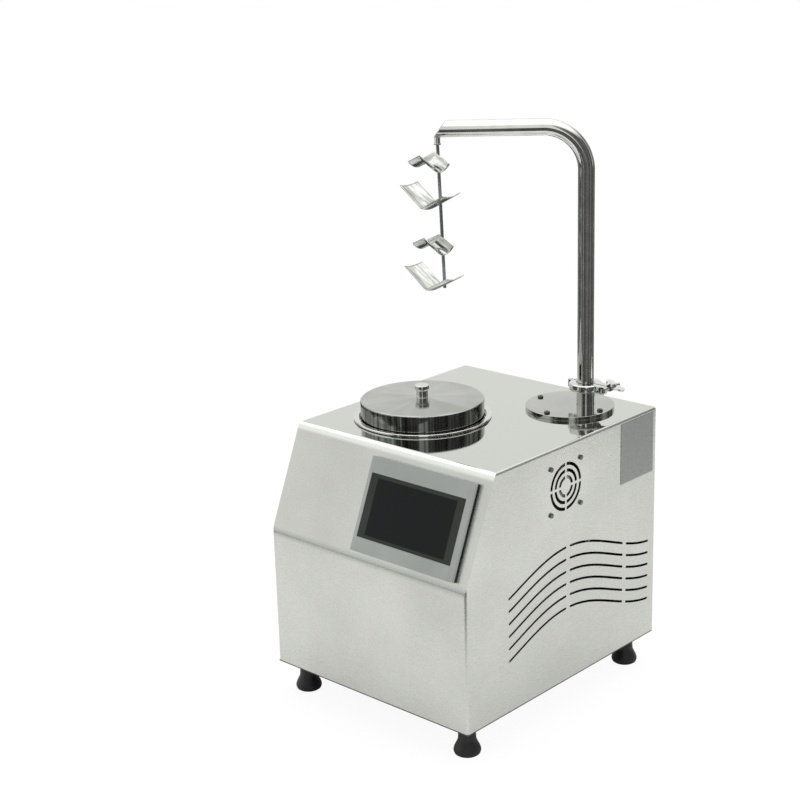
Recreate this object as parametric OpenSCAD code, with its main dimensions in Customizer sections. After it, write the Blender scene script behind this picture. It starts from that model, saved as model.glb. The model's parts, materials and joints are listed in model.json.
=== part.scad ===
// Benchtop chocolate melting tank: a sheet-steel cabinet with a lidded melting pot,
// a gear pump under the pot and a swivelling pouring arm with a hanging cascade.
// Millimetres, +Z up, the front faces -Y, and the origin is on the floor below the
// middle of the cabinet.

/* [Cabinet] */
// Outer width of the cabinet
cab_w = 393; // [370:1:450]
// Outer depth of the cabinet
cab_d = 462; // [440:1:520]
// Height from the underside of the base plate to the top panel
cab_h = 382; // [365:1:440]
// Height of the bend between the front panel and the sloping panel
slope_z = 221; // [200:1:235]
// How far the sloping panel leans back at its top
slope_set = 69; // [60:1:80]
// Thickness of the folded sheet
sheet_t = 1.5; // [1.2:0.1:2]
// Thickness of the base plate
base_t = 2; // [1.5:0.1:4]
// Thickness of the rear cover
cover_t = 2; // [1.5:0.1:3]
// Outer radius of the two long bends of the front sheet
bend_r = 9; // [6:0.5:12]
// Outer radius of the upright front edges and the upper side edges
edge_r = 4; // [3:0.5:6]
// Width of the lip that the rear cover is screwed to
lip_w = 16; // [14:1:24]

/* [Feet] */
// Height of the rubber feet
foot_h = 50; // [40:1:60]
// Largest radius of a foot
foot_r = 20.5; // [18:0.5:26]
// Radius of a foot's neck
foot_neck_r = 12.5; // [11:0.5:15]
// Radius of a foot above its flare
foot_waist_r = 13.5; // [12:0.5:16]
// Radius of a foot's sole
foot_sole_r = 17; // [14:0.5:17.5]
// Height of the widest part of a foot
foot_wide_z = 5.5; // [4:0.5:8]
// Height over which a foot flares
foot_flare_h = 21; // [16:1:30]
// Distance of a foot's axis from the side of the cabinet
foot_inset_x = 30.7; // [26:0.1:50]
// Distance of a foot's axis from the front or back of the cabinet
foot_inset_y = 33.4; // [26:0.1:50]

/* [Air slots] */
// Number of rows of wave-shaped slots
slot_rows = 6; // [3:1:6]
// Spacing of the rows
slot_pitch = 19.8; // [12:0.1:21]
// Width of a slot
slot_w = 3.7; // [2:0.1:5]
// Mean height of the top row above the base
wave_mid = 190.6; // [185:0.1:200]
// Height of the wave above its mean
wave_amp = 28.7; // [10:0.1:32]
// Distance of the wave's crest from the back of the cabinet
wave_peak = 227.6; // [215:0.1:245]
// Distance from crest to trough
wave_half = 230.4; // [200:0.1:260]
// Length of the front run of each slot row
run_front = 134; // [100:1:140]
// Length of the middle run of each slot row
run_middle = 133; // [100:1:134]
// Length of the rear run of each slot row
run_rear = 57; // [40:1:62]
// Distance of the rear run from the back of the cabinet
run_end = 17.5; // [15:0.5:30]
// Length of the metal bridge between two runs
run_bridge = 12; // [8:0.5:13]

/* [Fan] */
// Side length of the fan frame
fan_size = 80; // [70:1:92]
// Thickness of the fan frame
fan_t = 25; // [20:1:32]
// Spacing of the fan's screws
fan_pitch = 71.5; // [61:0.5:72]
// Depth of the fan's axis below the top panel
fan_drop = 65.4; // [58:0.2:80]
// Outer radius of the outer ring of the grille
grille_r = 37.4; // [33:0.1:38]
// Width of the grille's ring slots
grille_slot = 5; // [3:0.5:5.5]
// Width of the bars between the ring slots
grille_bar = 5.2; // [3:0.2:5.6]
// Width of the two crossed bars of the grille
grille_cross = 4; // [3:0.2:5.6]
// Thread radius of the fan's screws
fan_screw_r = 2; // [1.5:0.1:2.4]

/* [Touch screen] */
// Width of the bezel
hmi_w = 199; // [180:1:215]
// Height of the bezel
hmi_h = 143.4; // [130:0.2:150]
// Distance of the bezel's middle from the right side of the cabinet
hmi_inset = 122.1; // [115:0.1:135]
// Distance of the bezel's middle above the lower bend, along the slope
hmi_u = 83.2; // [80:0.2:92]
// Height of the bezel's face above the panel
hmi_proud = 11; // [9.5:0.5:14]
// Width of the chamfers on the left and right of the bezel
hmi_chamfer = 8.1; // [5:0.1:10]
// Height of the plain edge below the chamfers
hmi_edge = 5.8; // [2:0.1:6]
// Width of the glass
glass_w = 182.5; // [150:0.5:183]
// Height of the glass
glass_h = 97.2; // [80:0.2:115]
// How far the glass lies below the bezel's middle
glass_low = 1.3; // [0:0.1:6]
// Thickness of the glass
glass_t = 1.8; // [1:0.1:3]
// Thickness of the rubber gasket under the bezel
hmi_gasket_t = 3; // [1:0.1:4]
// How far the gasket stays inside the bezel's edge
gasket_set = 0.5; // [0.2:0.1:2]
// Margin of the bezel outside the panel cut-out
hmi_margin = 5; // [3:0.5:8]
// Depth of the electronics housing behind the panel
hmi_depth = 26; // [20:1:40]

/* [Blank plate] */
// Width of the blank plate on the right side
plate_w = 86; // [60:1:88]
// Height of the blank plate
plate_h = 98; // [60:1:100]
// Thickness of the blank plate
plate_t = 0.5; // [0.3:0.1:1]
// Distance of the blank plate from the back of the cabinet
plate_back = 6.6; // [4:0.2:12]
// Distance of the blank plate below the top panel
plate_drop = 5.4; // [5:0.1:12]

/* [Melting pot] */
// Distance of the pot's axis from the left side of the cabinet
pot_inset = 135; // [132:0.5:138]
// Distance of the pot's axis behind the front edge of the top panel
pot_set = 135.4; // [132:0.2:140]
// Inner radius of the pot
pot_r = 90; // [80:1:92]
// Inner radius of the wider mouth that takes the lid
mouth_r = 98.5; // [97.5:0.1:102]
// Outer radius of the pot's flange
flange_r = 107.3; // [105:0.1:115]
// Thickness of the flange
flange_t = 3; // [2:0.1:5]
// Sheet thickness of the pot
pot_t = 1.5; // [1:0.1:2]
// Chamfer on the rim of the flange
flange_edge = 1; // [0.5:0.1:1.5]
// Depth of the pot below the top panel
pot_depth = 150; // [130:1:165]
// Depth of the ledge that the lid rests on
ledge_drop = 6; // [4:0.5:10]
// Thickness of the silicone seal under the flange
seal_t = 1; // [0.5:0.1:2]
// Outer radius of the outlet pipe under the pot
outlet_r = 14; // [12:0.5:15]
// Wall thickness of the outlet pipe
outlet_t = 2; // [1.5:0.1:3]
// Thickness of the heating mat
heater_t = 3; // [2:0.5:4]
// Height of the heating mat
heater_h = 80; // [50:1:90]
// Thickness of the insulation round the heating mat
wool_t = 14; // [8:1:16]
// Radius of the temperature probe
probe_r = 3; // [2:0.5:4]
// Length of the probe inside the pot
probe_len = 25; // [15:1:40]
// Distance of the probe from the pot's axis
probe_off = 76; // [72:1:78]

/* [Lid] */
// Clearance between the lid and the mouth
lid_gap = 2.2; // [1.5:0.1:3]
// Height of the lid's edge above the top panel
lid_rise = 30; // [24:1:40]
// Rise of the lid from its edge to its middle
lid_crown = 2.5; // [1:0.1:5]
// Sheet thickness of the lid
lid_t = 1.2; // [1:0.1:2]
// Radius of the flat seat under the knob
knob_seat_r = 13; // [12.5:0.5:18]
// Radius of the knob's head
knob_r = 11.5; // [10:0.5:12.5]
// Radius of the knob's waist
knob_waist_r = 9.1; // [7:0.1:9.6]
// Height of the knob
knob_h = 18.6; // [16:0.2:26]
// Height of the knob's head
knob_head_h = 7; // [5:0.5:9]
// Thread radius of the knob's screw
knob_screw_r = 3; // [2:0.5:4]

/* [Post foot] */
// Distance of the base disc's middle from the right side of the cabinet
disc_inset = 104; // [96:0.5:106]
// Distance of the base disc's middle from the back of the cabinet
disc_back = 84; // [81:0.5:88]
// Radius of the base disc
disc_r = 69.5; // [62:0.5:72]
// Thickness of the base disc
disc_t = 6; // [4:0.5:10]
// Radius of the circle of the disc's screws
disc_screw_pcr = 58; // [54:0.5:59]
// Thread radius of the disc's screws
disc_screw_r = 2.5; // [2:0.1:3]
// Angle of the first of the disc's screws
disc_screw_turn = 0; // [-20:1:20]
// Offset of the post from the disc's middle, to the right
post_dx = 17.7; // [12:0.1:20]
// Offset of the post from the disc's middle, to the back
post_dy = 16.9; // [12:0.1:20]
// Outer radius of the riser pipe below the clamp
riser_r = 14.1; // [13.5:0.1:14.2]
// Depth of the riser's lower end below the top panel
riser_drop = 80; // [60:1:100]

/* [Clamp] */
// Height of the clamp's middle above the top panel
clamp_z = 35.2; // [30:0.2:45]
// Outer radius of the clamp ring
clamp_r = 25.6; // [24.5:0.1:27]
// Height of the clamp ring
clamp_h = 12; // [11.6:0.2:16]
// Outer radius of the pipe ferrules in the clamp
ferrule_r = 22.4; // [20:0.1:23]
// Thickness of one ferrule flange
ferrule_t = 2.8; // [2:0.1:3]
// Thickness of the seal between the ferrules
ferrule_seal_t = 1.6; // [1:0.1:2]
// Distance of the clamp bolt from the post's axis
bolt_off = 37.2; // [36:0.2:42]
// Thread radius of the clamp bolt
bolt_r = 3; // [2.5:0.1:3.2]
// Length of the clamp bolt from its pin
bolt_len = 41; // [37:1:48]
// Span of the wing nut
wing_span = 33; // [28:1:36]
// Thickness of the wing nut's wings
wing_t = 3.4; // [2:0.2:5]
// Turn of the wing nut about the bolt
wing_turn = 20; // [0:1:90]

/* [Arm] */
// Outer radius of the arm tube
tube_r = 12.7; // [11:0.1:12.8]
// Wall thickness of the arm tube
tube_t = 1.5; // [1:0.1:2]
// Height of the arm's axis above the top panel
arm_rise = 439.3; // [430:1:520]
// Centre-line radius of the arm's bend
arm_bend_r = 65; // [50:1:80]
// Distance from the post to the nozzle
arm_reach = 223.2; // [200:0.2:240]
// Heading of the arm seen from above, from +X
arm_turn = 219.2; // [215:0.2:228]
// Angle of the mitred end of the arm from upright
arm_mitre = 37; // [20:1:45]
// Distance from the nozzle to the lower tip of the arm
arm_tip = 5.6; // [5.2:0.1:8]
// Outer radius of the nozzle
nozzle_r = 4.4; // [4.2:0.1:5]
// Wall thickness of the nozzle
nozzle_t = 0.9; // [0.6:0.1:1]
// Length of the nozzle below the arm
nozzle_len = 11; // [10:0.5:16]
// Outer radius of the nozzle's collar
nozzle_collar_r = 5.5; // [5.2:0.1:7]
// Height of the nozzle's collar
nozzle_collar_h = 2; // [1:0.2:3]
// Height of the hanger pin above the nozzle's lower end
hanger_up = 7; // [6:0.5:8]
// Radius of the hanger pin
hanger_r = 1; // [0.8:0.1:1.2]

/* [Cascade] */
// Radius of the cascade's rod
rod_r = 2.5; // [2:0.1:2.6]
// Distance from the upper to the lower set of blades
set_pitch = 126.6; // [122:0.2:140]
// Depth of the upper leaf's crease below the arm's axis
leaf_drop = 47.4; // [44:0.1:58]
// Depth of the upper trough's crease below the arm's axis
trough_drop = 118.4; // [114:0.1:128]
// Sheet thickness of the blades
blade_t = 1.2; // [1:0.1:2]
// Heading of the blades' right sides in degrees
blade_turn = -8.5; // [-20:0.5:10]
// Distance from the rod to the leaves' creases
leaf_off = 4.9; // [3:0.1:10]
// Distance from the rod to the troughs' creases
trough_off = 1.8; // [0:0.1:8]
// Outer radius of curvature of the leaves
leaf_r = 15.1; // [13:0.1:19]
// Half of the leaf's arc in degrees
leaf_half = 76; // [60:1:85]
// Length of the leaf's right side from its crease
leaf_long = 31.3; // [28:0.1:42]
// Length of the leaf's left side from its crease
leaf_short = 24.8; // [22:0.1:34]
// Slope of the leaf's sides in degrees
leaf_slope = 23.4; // [15:0.2:28]
// Outer radius of curvature of the troughs
trough_r = 46; // [40:1:60]
// Half of the trough's arc in degrees
trough_half = 22; // [18:1:26]
// Length of each side of the trough from its crease
trough_len = 58; // [50:1:66]
// Slope of the trough's sides in degrees
trough_slope = 29; // [20:1:36]
// Tilt of the trough towards its right side in degrees
trough_tilt = 3; // [0:0.5:6]
// Length of the rod below the lower trough's crease
rod_tail = 1; // [-2:0.5:4]
// Angle by which the cascade hangs out of plumb, its foot towards the back
rod_lean = 2.2; // [0:0.1:4]

/* [Pump] */
// Number of teeth of each pump gear
gear_teeth = 12; // [10:2:14]
// Pitch radius of each pump gear
gear_pitch_r = 18; // [16:0.5:20]
// Height of a tooth above the pitch circle
gear_add = 2.6; // [1.6:0.1:2.8]
// Depth of a tooth below the pitch circle
gear_ded = 3.4; // [2.9:0.1:3.8]
// Face width of the gears
gear_h = 20; // [14:1:26]
// Radius of the pump shafts
shaft_r = 6; // [5:0.5:7]
// Running clearance of the gears in the pump body
gear_gap = 0.4; // [0.3:0.1:0.8]
// Radial clearance of shafts and pins in their bores
fit_gap = 0.05; // [0.02:0.01:0.09]
// Width of the pump body
pump_w = 104; // [98:1:116]
// Depth of the pump body
pump_d = 66; // [60:1:80]
// Thickness of the pump body's floor
pump_floor = 14; // [12:1:20]
// Thickness of the pump cover
pump_cover_t = 10; // [9:0.5:14]
// Height of the inlet neck on the pump cover
neck_h = 12; // [8:1:16]
// Wall thickness of the inlet neck
neck_t = 5; // [3:0.5:7]
// Depth of the outlet pipe in the pump cover
outlet_seat = 2; // [1:0.5:4]
// Distance of the pump's ports from the line of the gears
port_off = 13; // [12:0.5:14]
// Radius of the pump's ports
port_r = 9; // [7:0.5:10]
// Radius of the seal round the drive shaft
seal_r = 12; // [10.5:0.5:14]
// Height of the seal round the drive shaft
seal_h = 6; // [4:0.5:8]
// Thread radius of the pump's screws
pump_screw_r = 2.5; // [2:0.1:3]
// Height of the pump bracket above the base plate
bracket_h = 110; // [100:1:125]
// Thickness of the bracket's plates
bracket_t = 4; // [3:0.5:6]
// Clear width inside the bracket
bracket_w = 124; // [120:1:140]
// Depth of the bracket
bracket_d = 80; // [72:1:90]
// Radius of the gearbox
gearbox_r = 35; // [30:1:37]
// Height of the gearbox
gearbox_h = 34; // [30:1:40]
// Radius of the motor
motor_r = 31; // [26:1:34]
// Height of the motor
motor_h = 46; // [36:1:50]
// Depth of the drive shaft in the gearbox
shaft_seat = 26; // [20:1:29]
// Centre-line radius of the delivery pipe's bends
pipe_bend_r = 38; // [30:1:44]
// Outer radius of the union nut on the riser
union_r = 20; // [18:0.5:24]
// Height of the union nut
union_h = 30; // [24:1:40]

/* [Electrics] */
// Width of the power supply
supply_w = 160; // [120:1:180]
// Depth of the power supply
supply_d = 98; // [80:1:110]
// Height of the power supply
supply_h = 42; // [30:1:50]
// Distance of the power supply's middle from the right side of the cabinet
supply_inset = 112.5; // [105:0.5:118]
// Distance of the power supply's middle from the front of the cabinet
supply_set = 101; // [98:1:112]
// Height of the power supply's terminal block
terminal_h = 6; // [4:1:10]
// Width of the control board
board_w = 120; // [90:1:130]
// Depth of the control board
board_d = 90; // [60:1:96]
// Height of the control board's posts
board_post_h = 12; // [8:1:20]
// Thickness of the control board
board_t = 1.6; // [1.2:0.1:2.4]
// Height of the relays on the control board
relay_h = 16; // [12:1:20]
// Height of the capacitors on the control board
capacitor_h = 22; // [16:1:26]
// Distance of the control board's middle from the right side of the cabinet
board_inset = 86.5; // [80:0.5:95]
// Distance of the control board's middle from the back of the cabinet
board_back = 121; // [110:1:130]
// Width of the power inlet's flange
inlet_w = 50; // [46:1:60]
// Height of the power inlet's flange
inlet_h = 62; // [58:1:70]
// Thickness of the power inlet's flange
inlet_t = 4.5; // [3:0.1:6]
// Depth of the power inlet behind the rear cover
inlet_depth = 22; // [18:1:30]
// Distance of the power inlet's middle from the left side of the cabinet
inlet_inset = 66.5; // [50:0.5:95]
// Height of the power inlet's middle above the base
inlet_z = 70; // [55:1:120]
// Width of the rocker
rocker_w = 20; // [16:1:24]
// Height of the rocker
rocker_h = 13; // [11:0.5:16]
// Tilt of the rocker at each of its two stops
rocker_tilt = 9; // [6:0.5:11]

/* [Hidden] */
$fn = 64;
// Small gap between loosely seated pieces, and the overrun of a cut past a face
seat_gap = 0.3;
over = 1;
// Facets along each side of a slot, and of a foot's flare
slot_steps = 9;
flare_steps = 12;

// Heights of the base plate, the top panel and the sloping panel
floor_z = foot_h + base_t;
top_z = foot_h + cab_h;
bend_z = foot_h + slope_z;
front_y = -cab_d / 2;
back_y = cab_d / 2;
side_x = cab_w / 2;
crest_y = back_y - wave_peak;
slope_a = atan2(cab_h - slope_z, slope_set);
fold_a = 90 - slope_a;

// Places measured from the cabinet's sides
hmi_x = side_x - hmi_inset;
pot_x = pot_inset - side_x;
pot_y = front_y + slope_set + pot_set;
disc_x = side_x - disc_inset;
disc_y = back_y - disc_back;
supply_x = side_x - supply_inset;
supply_y = front_y + supply_set;
board_x = side_x - board_inset;
board_y = back_y - board_back;
inlet_x = inlet_inset - side_x;

// Fan and grille
fan_z = top_z - fan_drop;
fan_in_x = side_x - sheet_t;
hub_r = fan_size * 0.23;
duct_r = fan_size / 2 - 2;
fan_pin_r = 3;
fan_web_t = 3;
fan_blades = 7;
fan_blade_t = 1.6;
fan_tip_gap = 1.2;
fan_blade_tilt = 52;
fan_screw_head_r = fan_screw_r * 1.9;
fan_screw_head_h = fan_screw_r * 1.1;

// Pot and lid
pot_floor_z = top_z - pot_depth;
ledge_z = top_z - ledge_drop;
flange_z = top_z + seal_t;
lid_r = mouth_r - lid_gap;
lid_top_z = top_z + lid_rise;
knob_z = lid_top_z + lid_crown;
knob_bore_h = knob_h * 0.6;
lid_edge_r = 3;
heater_gap = 0.2;
heater_z = pot_floor_z + 10;
heater_out_r = pot_r + pot_t + heater_gap + heater_t;
probe_nut_r = probe_r * 2;
probe_nut_h = 6;
probe_tail = 18;

// Post, clamp and arm
post_x = disc_x + post_dx;
post_y = disc_y + post_dy;
clamp_mid_z = top_z + clamp_z;
ferrule_low_z = clamp_mid_z - ferrule_seal_t / 2;
ferrule_top_z = clamp_mid_z + ferrule_seal_t / 2;
riser_bottom_z = top_z - riser_drop;
arm_z = top_z + arm_rise;
bore_r = tube_r - tube_t;
clamp_split = 1;
lug_slot = bolt_r + 0.5;
lug_y = 11.5;
eye_y = -5;
eye_r = bolt_r * 1.5;
eye_pin_r = 2;
hinge_off = clamp_r + 3.4;
hinge_r = 4;
hinge_pin_r = 1.8;
knuckle_half = 2.6;
clamp_edge = 1.5;
wing_hub_r = bolt_r * 2;
wing_hub_h = 10;
wing_lobe_r = wing_span * 0.22;
wing_z = clamp_split + lug_y + seat_gap - eye_y;
arm_tip_x = arm_reach + arm_tip;
nozzle_low = tube_r + nozzle_len;
nozzle_in = 3.5;
hanger_z = arm_z - nozzle_low + hanger_up;
nozzle_x = post_x + arm_reach * cos(arm_turn);
nozzle_y = post_y + arm_reach * sin(arm_turn);
rod_low_z = arm_z - trough_drop - set_pitch - rod_tail;

// Pump stack, from the base plate up
bracket_z = floor_z + bracket_h;
pump_x = pot_x;
pump_y = pot_y + port_off;
drive_x = pump_x + gear_pitch_r;
idler_x = pump_x - gear_pitch_r;
cavity_r = gear_pitch_r + gear_add + gear_gap;
end_gap = 0.1;
cavity_z = bracket_z + pump_floor;
pump_top_z = cavity_z + gear_h + 2 * end_gap;
cover_top_z = pump_top_z + pump_cover_t;
outlet_z = cover_top_z - outlet_seat;
shaft_top_z = pump_top_z + pump_cover_t * 0.6;
port_z = (bracket_z + pump_top_z) / 2;
pump_back_y = pump_y + pump_d / 2;
pump_screw_dx = pump_w / 2 - 6;
pump_screw_dy = pump_d / 2 - 6;
shaft_hole_r = shaft_r + 4;
bracket_foot = 18;
pipe_seat = 8;
pipe_start_y = pump_back_y - pipe_seat;

// Electrics and rear fittings
board_post_r = 3;
inlet_mid_z = foot_h + inlet_z;
inlet_side = 9;
inlet_end = 6;
inlet_body_w = inlet_w - 2 * inlet_side;
inlet_body_h = inlet_h - 2 * inlet_end;
socket_w = 24;
socket_h = 16;
socket_up = 11;
socket_depth = 17;
blade_pitch = 7;
blade_shift = 4;
blade_w = 2;
blade_d = 4;
blade_up = 8;
rocker_down = 15;
rocker_pivot = 5;
rocker_gap = 0.8;
rocker_pin_r = 1.5;
rocker_low = 1;
rocker_draft = 0.6;
rocker_fall = 1.6;
rocker_skirt = 4;
rocker_cheek = 2;
cover_screw_r = 2;
cover_screw_head_r = 4;
cover_screw_head_h = 2.2;
foot_bolt_r = 5;
foot_bolt_in = 22;

// Colours
satin = "#c6c8c3";
bright = "#b9bcbb";
black = "#17181a";
grey = "#9ca19d";

// Point of a fold line at a given inset from the outer face
function fold_low(i) = [front_y + i, bend_z - i * tan(fold_a / 2)];
function fold_top(i) = [front_y + slope_set + i * tan(slope_a / 2), top_z - i];

// Sector of a cylinder along Z, from the angle start over the angle turn
module sector(r, start, turn, h) {
    rotate([0, 0, start]) rotate_extrude(angle = turn) square([r, h]);
}

// Side view of the cabinet, extruded along X to a width, with true arcs at its two bends
module side_prism(i, w, low, rear) {
    r = bend_r - i;
    along = [cos(slope_a), sin(slope_a)];
    run_low = r * tan(fold_a / 2);
    run_top = r * tan(slope_a / 2);
    a = fold_low(i);
    b = fold_top(i);
    low_axis = a + [r, -run_low];
    top_axis = b + [run_top, -r];
    translate([-w / 2, 0, 0]) rotate([90, 0, 90]) union() {
        linear_extrude(w) polygon([
            [a[0], low], a - [0, run_low], low_axis, a + run_low * along,
            b - run_top * along, top_axis, b + [run_top, 0], [rear, b[1]], [rear, low]
        ]);
        translate(low_axis) sector(r, 90 + slope_a, fold_a, w);
        translate(top_axis) sector(r, 90, slope_a, w);
    }
}

// Rectangle from -w/2 to w/2 and from 0 to h, with its two upper corners rounded
module arch_sheet(w, h, r) {
    translate([-w / 2, 0]) square([w, h - r]);
    translate([-w / 2 + r, 0]) square([w - 2 * r, h]);
    for (s = [-1, 1])
        translate([s * (w / 2 - r), h - r]) circle(r);
}

// Outer form of the cabinet, drawn in by i on all its faces
module cabinet_form(i, low, rear) {
    w = cab_w - 2 * i;
    r = edge_r - i;
    intersection() {
        side_prism(i, w, low, rear);
        translate([0, rear, low]) rotate([0, 0, 180])
            linear_extrude(top_z - i - low) arch_sheet(w, rear - front_y - i, r);
        translate([0, rear, low]) rotate([90, 0, 0])
            linear_extrude(rear - front_y - i) arch_sheet(w, top_z - i - low, r);
    }
}

// Places children on the sloping panel: local Y runs up the slope, local Z outwards
module on_slope(x, u) {
    translate([x, front_y, bend_z]) rotate([slope_a, 0, 0]) translate([0, u, 0]) children();
}

// Places children on the right side: local X runs to the back, local Y up, local Z outwards
module on_right(x) {
    translate([x, 0, 0]) rotate([90, 0, 90]) children();
}

// Box centred on X and Y, standing on Z = 0
module slab(w, d, h) {
    translate([-w / 2, -d / 2, 0]) cube([w, d, h]);
}

// Height of the top row of slots at a place y, and its slope there
function wave(y) = foot_h + wave_mid + wave_amp * cos(180 * (y - crest_y) / wave_half);
function wave_fall(y) = -wave_amp * PI / wave_half * sin(180 * (y - crest_y) / wave_half);
function wave_side(y, d) = [y, wave(y)] + d * [-wave_fall(y), 1] / norm([-wave_fall(y), 1]);

// One run of a slot in Y and Z, with round ends
module slot_run(from, length) {
    h = slot_w / 2;
    ys = [for (k = [0 : slot_steps]) from + length * k / slot_steps];
    polygon([
        for (y = ys) wave_side(y, h),
        for (k = [slot_steps : -1 : 0]) wave_side(ys[k], -h)
    ]);
    for (y = [from, from + length])
        translate([y, wave(y)]) circle(h);
}

// All the slots of one side
module slot_field() {
    rear = back_y - run_end - run_rear;
    middle = rear - run_bridge - run_middle;
    front = middle - run_bridge - run_front;
    for (k = [0 : slot_rows - 1])
        translate([0, -k * slot_pitch]) {
            slot_run(front, run_front);
            slot_run(middle, run_middle);
            slot_run(rear, run_rear);
        }
}

// Places children at the four corners of a rectangle
module corners(dx, dy) {
    for (sx = [-1, 1], sy = [-1, 1])
        translate([sx * dx, sy * dy, 0]) children();
}

// Ring slots of the fan grille, left in four arcs by two crossed bars
module grille() {
    for (k = [0 : 2]) {
        r = grille_r - k * (grille_slot + grille_bar);
        difference() {
            circle(r);
            circle(r - grille_slot);
            square([2 * fan_size, grille_cross], center = true);
            square([grille_cross, 2 * fan_size], center = true);
        }
    }
    corners(fan_pitch / 2, fan_pitch / 2) circle(fan_screw_r + seat_gap);
}

// Places children at the rear cover's screws, with local Z towards the back
module at_cover_screws() {
    dx = side_x - sheet_t - lip_w / 2;
    low = floor_z + lip_w;
    high = top_z - sheet_t - lip_w / 2;
    for (sx = [-1, 1], z = [low, (low + high) / 2, high])
        translate([sx * dx, back_y, z]) rotate([-90, 0, 0]) children();
}

// Places children at the screws of the base disc
module at_disc_screws() {
    for (k = [0 : 3])
        translate([disc_x, disc_y, 0]) rotate([0, 0, disc_screw_turn + 90 * k])
            translate([disc_screw_pcr, 0, 0]) children();
}

// Cabinet: one folded and welded sheet with front, slope, top and sides
module cabinet_shell() {
    rear = back_y - cover_t;
    color(satin) difference() {
        cabinet_form(0, floor_z, rear);
        cabinet_form(sheet_t, floor_z - over, rear - sheet_t);
        translate([0, rear - sheet_t - over, floor_z - over])
            translate([-side_x + sheet_t + lip_w, 0, 0])
                cube([cab_w - 2 * (sheet_t + lip_w), sheet_t + 2 * over,
                      top_z - floor_z - sheet_t - lip_w + over]);
        on_right(-side_x - over) linear_extrude(cab_w + 2 * over) slot_field();
        on_right(side_x - edge_r) linear_extrude(edge_r + over) translate([0, fan_z]) grille();
        on_slope(hmi_x, hmi_u)
            translate([0, 0, -2 * sheet_t])
                slab(hmi_w - 2 * hmi_margin, hmi_h - 2 * hmi_margin, 3 * sheet_t);
        translate([pot_x, pot_y, top_z - 2 * sheet_t])
            cylinder(r = mouth_r + pot_t + seat_gap, h = 3 * sheet_t);
        translate([post_x, post_y, top_z - 2 * sheet_t])
            cylinder(r = riser_r + seat_gap, h = 3 * sheet_t);
        at_disc_screws() translate([0, 0, top_z - 2 * sheet_t])
            cylinder(r = disc_screw_r + fit_gap, h = 3 * sheet_t);
        at_cover_screws() translate([0, 0, -cover_t - 2 * sheet_t])
            cylinder(r = cover_screw_r + fit_gap, h = 3 * sheet_t);
    }
}

// Rear cover: flat sheet closing the back, flush with the cabinet
module rear_cover() {
    color(satin) difference() {
        translate([0, back_y, floor_z]) rotate([90, 0, 0])
            linear_extrude(cover_t) arch_sheet(cab_w, top_z - floor_z, edge_r);
        at_cover_screws() translate([0, 0, -cover_t - over])
            cylinder(r = cover_screw_r + fit_gap, h = cover_t + 2 * over);
        translate([inlet_x, back_y + over, inlet_mid_z]) rotate([90, 0, 0])
            slab(inlet_body_w + 2 * seat_gap, inlet_body_h + 2 * seat_gap, cover_t + 2 * over);
    }
}

// Screws of the rear cover
module rear_cover_screws() {
    color(bright) at_cover_screws() {
        cylinder(r = cover_screw_head_r, h = cover_screw_head_h);
        translate([0, 0, -cover_t - 2 * sheet_t])
            cylinder(r = cover_screw_r, h = cover_t + 2 * sheet_t);
    }
}

// Places children at the axis of each foot
module at_feet() {
    corners(side_x - foot_inset_x, cab_d / 2 - foot_inset_y) children();
}

// Base plate under the whole cabinet
module base_plate() {
    color("#4a4c4d") difference() {
        translate([0, 0, foot_h]) slab(cab_w - 2 * seat_gap, cab_d - 2 * seat_gap, base_t);
        at_feet() translate([0, 0, foot_h - over])
            cylinder(r = foot_bolt_r + seat_gap, h = base_t + 2 * over);
    }
}

// Flared rubber foot with a bore for its bolt
function foot_flare(k) = foot_waist_r
    + (foot_r - foot_waist_r) * (1 + cos(180 * k / flare_steps)) / 2;
module foot(sx, sy) {
    color(black)
        translate([sx * (side_x - foot_inset_x), sy * (cab_d / 2 - foot_inset_y), 0])
            difference() {
                rotate_extrude() polygon([
                    [0, 0], [foot_sole_r, 0],
                    [(foot_sole_r + 2 * foot_r) / 3, foot_wide_z * 0.3],
                    for (k = [0 : flare_steps])
                        [foot_flare(k), foot_wide_z + foot_flare_h * k / flare_steps],
                    [foot_neck_r, foot_h], [0, foot_h]
                ]);
                translate([0, 0, foot_h - foot_bolt_in - over])
                    cylinder(r = foot_bolt_r + fit_gap, h = foot_bolt_in + 2 * over);
            }
}
module foot_front_left() { foot(-1, -1); }
module foot_front_right() { foot(1, -1); }
module foot_back_left() { foot(-1, 1); }
module foot_back_right() { foot(1, 1); }

// Hexagon bolts that hold the feet
module foot_bolts() {
    color(bright) at_feet() {
        translate([0, 0, floor_z]) cylinder(r = foot_bolt_r * 1.8, h = foot_bolt_r * 1.2, $fn = 6);
        translate([0, 0, foot_h - foot_bolt_in])
            cylinder(r = foot_bolt_r, h = foot_bolt_in + base_t);
    }
}

// Blank metal plate on the right side
module blank_plate() {
    color("#bfc2c4")
        translate([side_x, back_y - plate_back - plate_w, top_z - plate_drop - plate_h])
            cube([plate_t, plate_w, plate_h]);
}

// Bezel of the touch screen, chamfered on its left and right
module hmi_bezel() {
    w = hmi_w / 2;
    low = hmi_gasket_t;
    rise = low + hmi_edge;
    color(grey) on_slope(hmi_x, hmi_u) difference() {
        translate([0, hmi_h / 2, 0]) rotate([90, 0, 0]) linear_extrude(hmi_h)
            polygon([
                [-w, low], [w, low], [w, rise], [w - hmi_chamfer, hmi_proud],
                [-w + hmi_chamfer, hmi_proud], [-w, rise]
            ]);
        translate([0, -glass_low, hmi_proud - glass_t])
            slab(glass_w, glass_h, glass_t + over);
    }
}

// Glass of the touch screen, flush in the bezel
module hmi_screen() {
    color("#1f2122") on_slope(hmi_x, hmi_u)
        translate([0, -glass_low, hmi_proud - glass_t])
            slab(glass_w - seat_gap, glass_h - seat_gap, glass_t - seat_gap);
}

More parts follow.
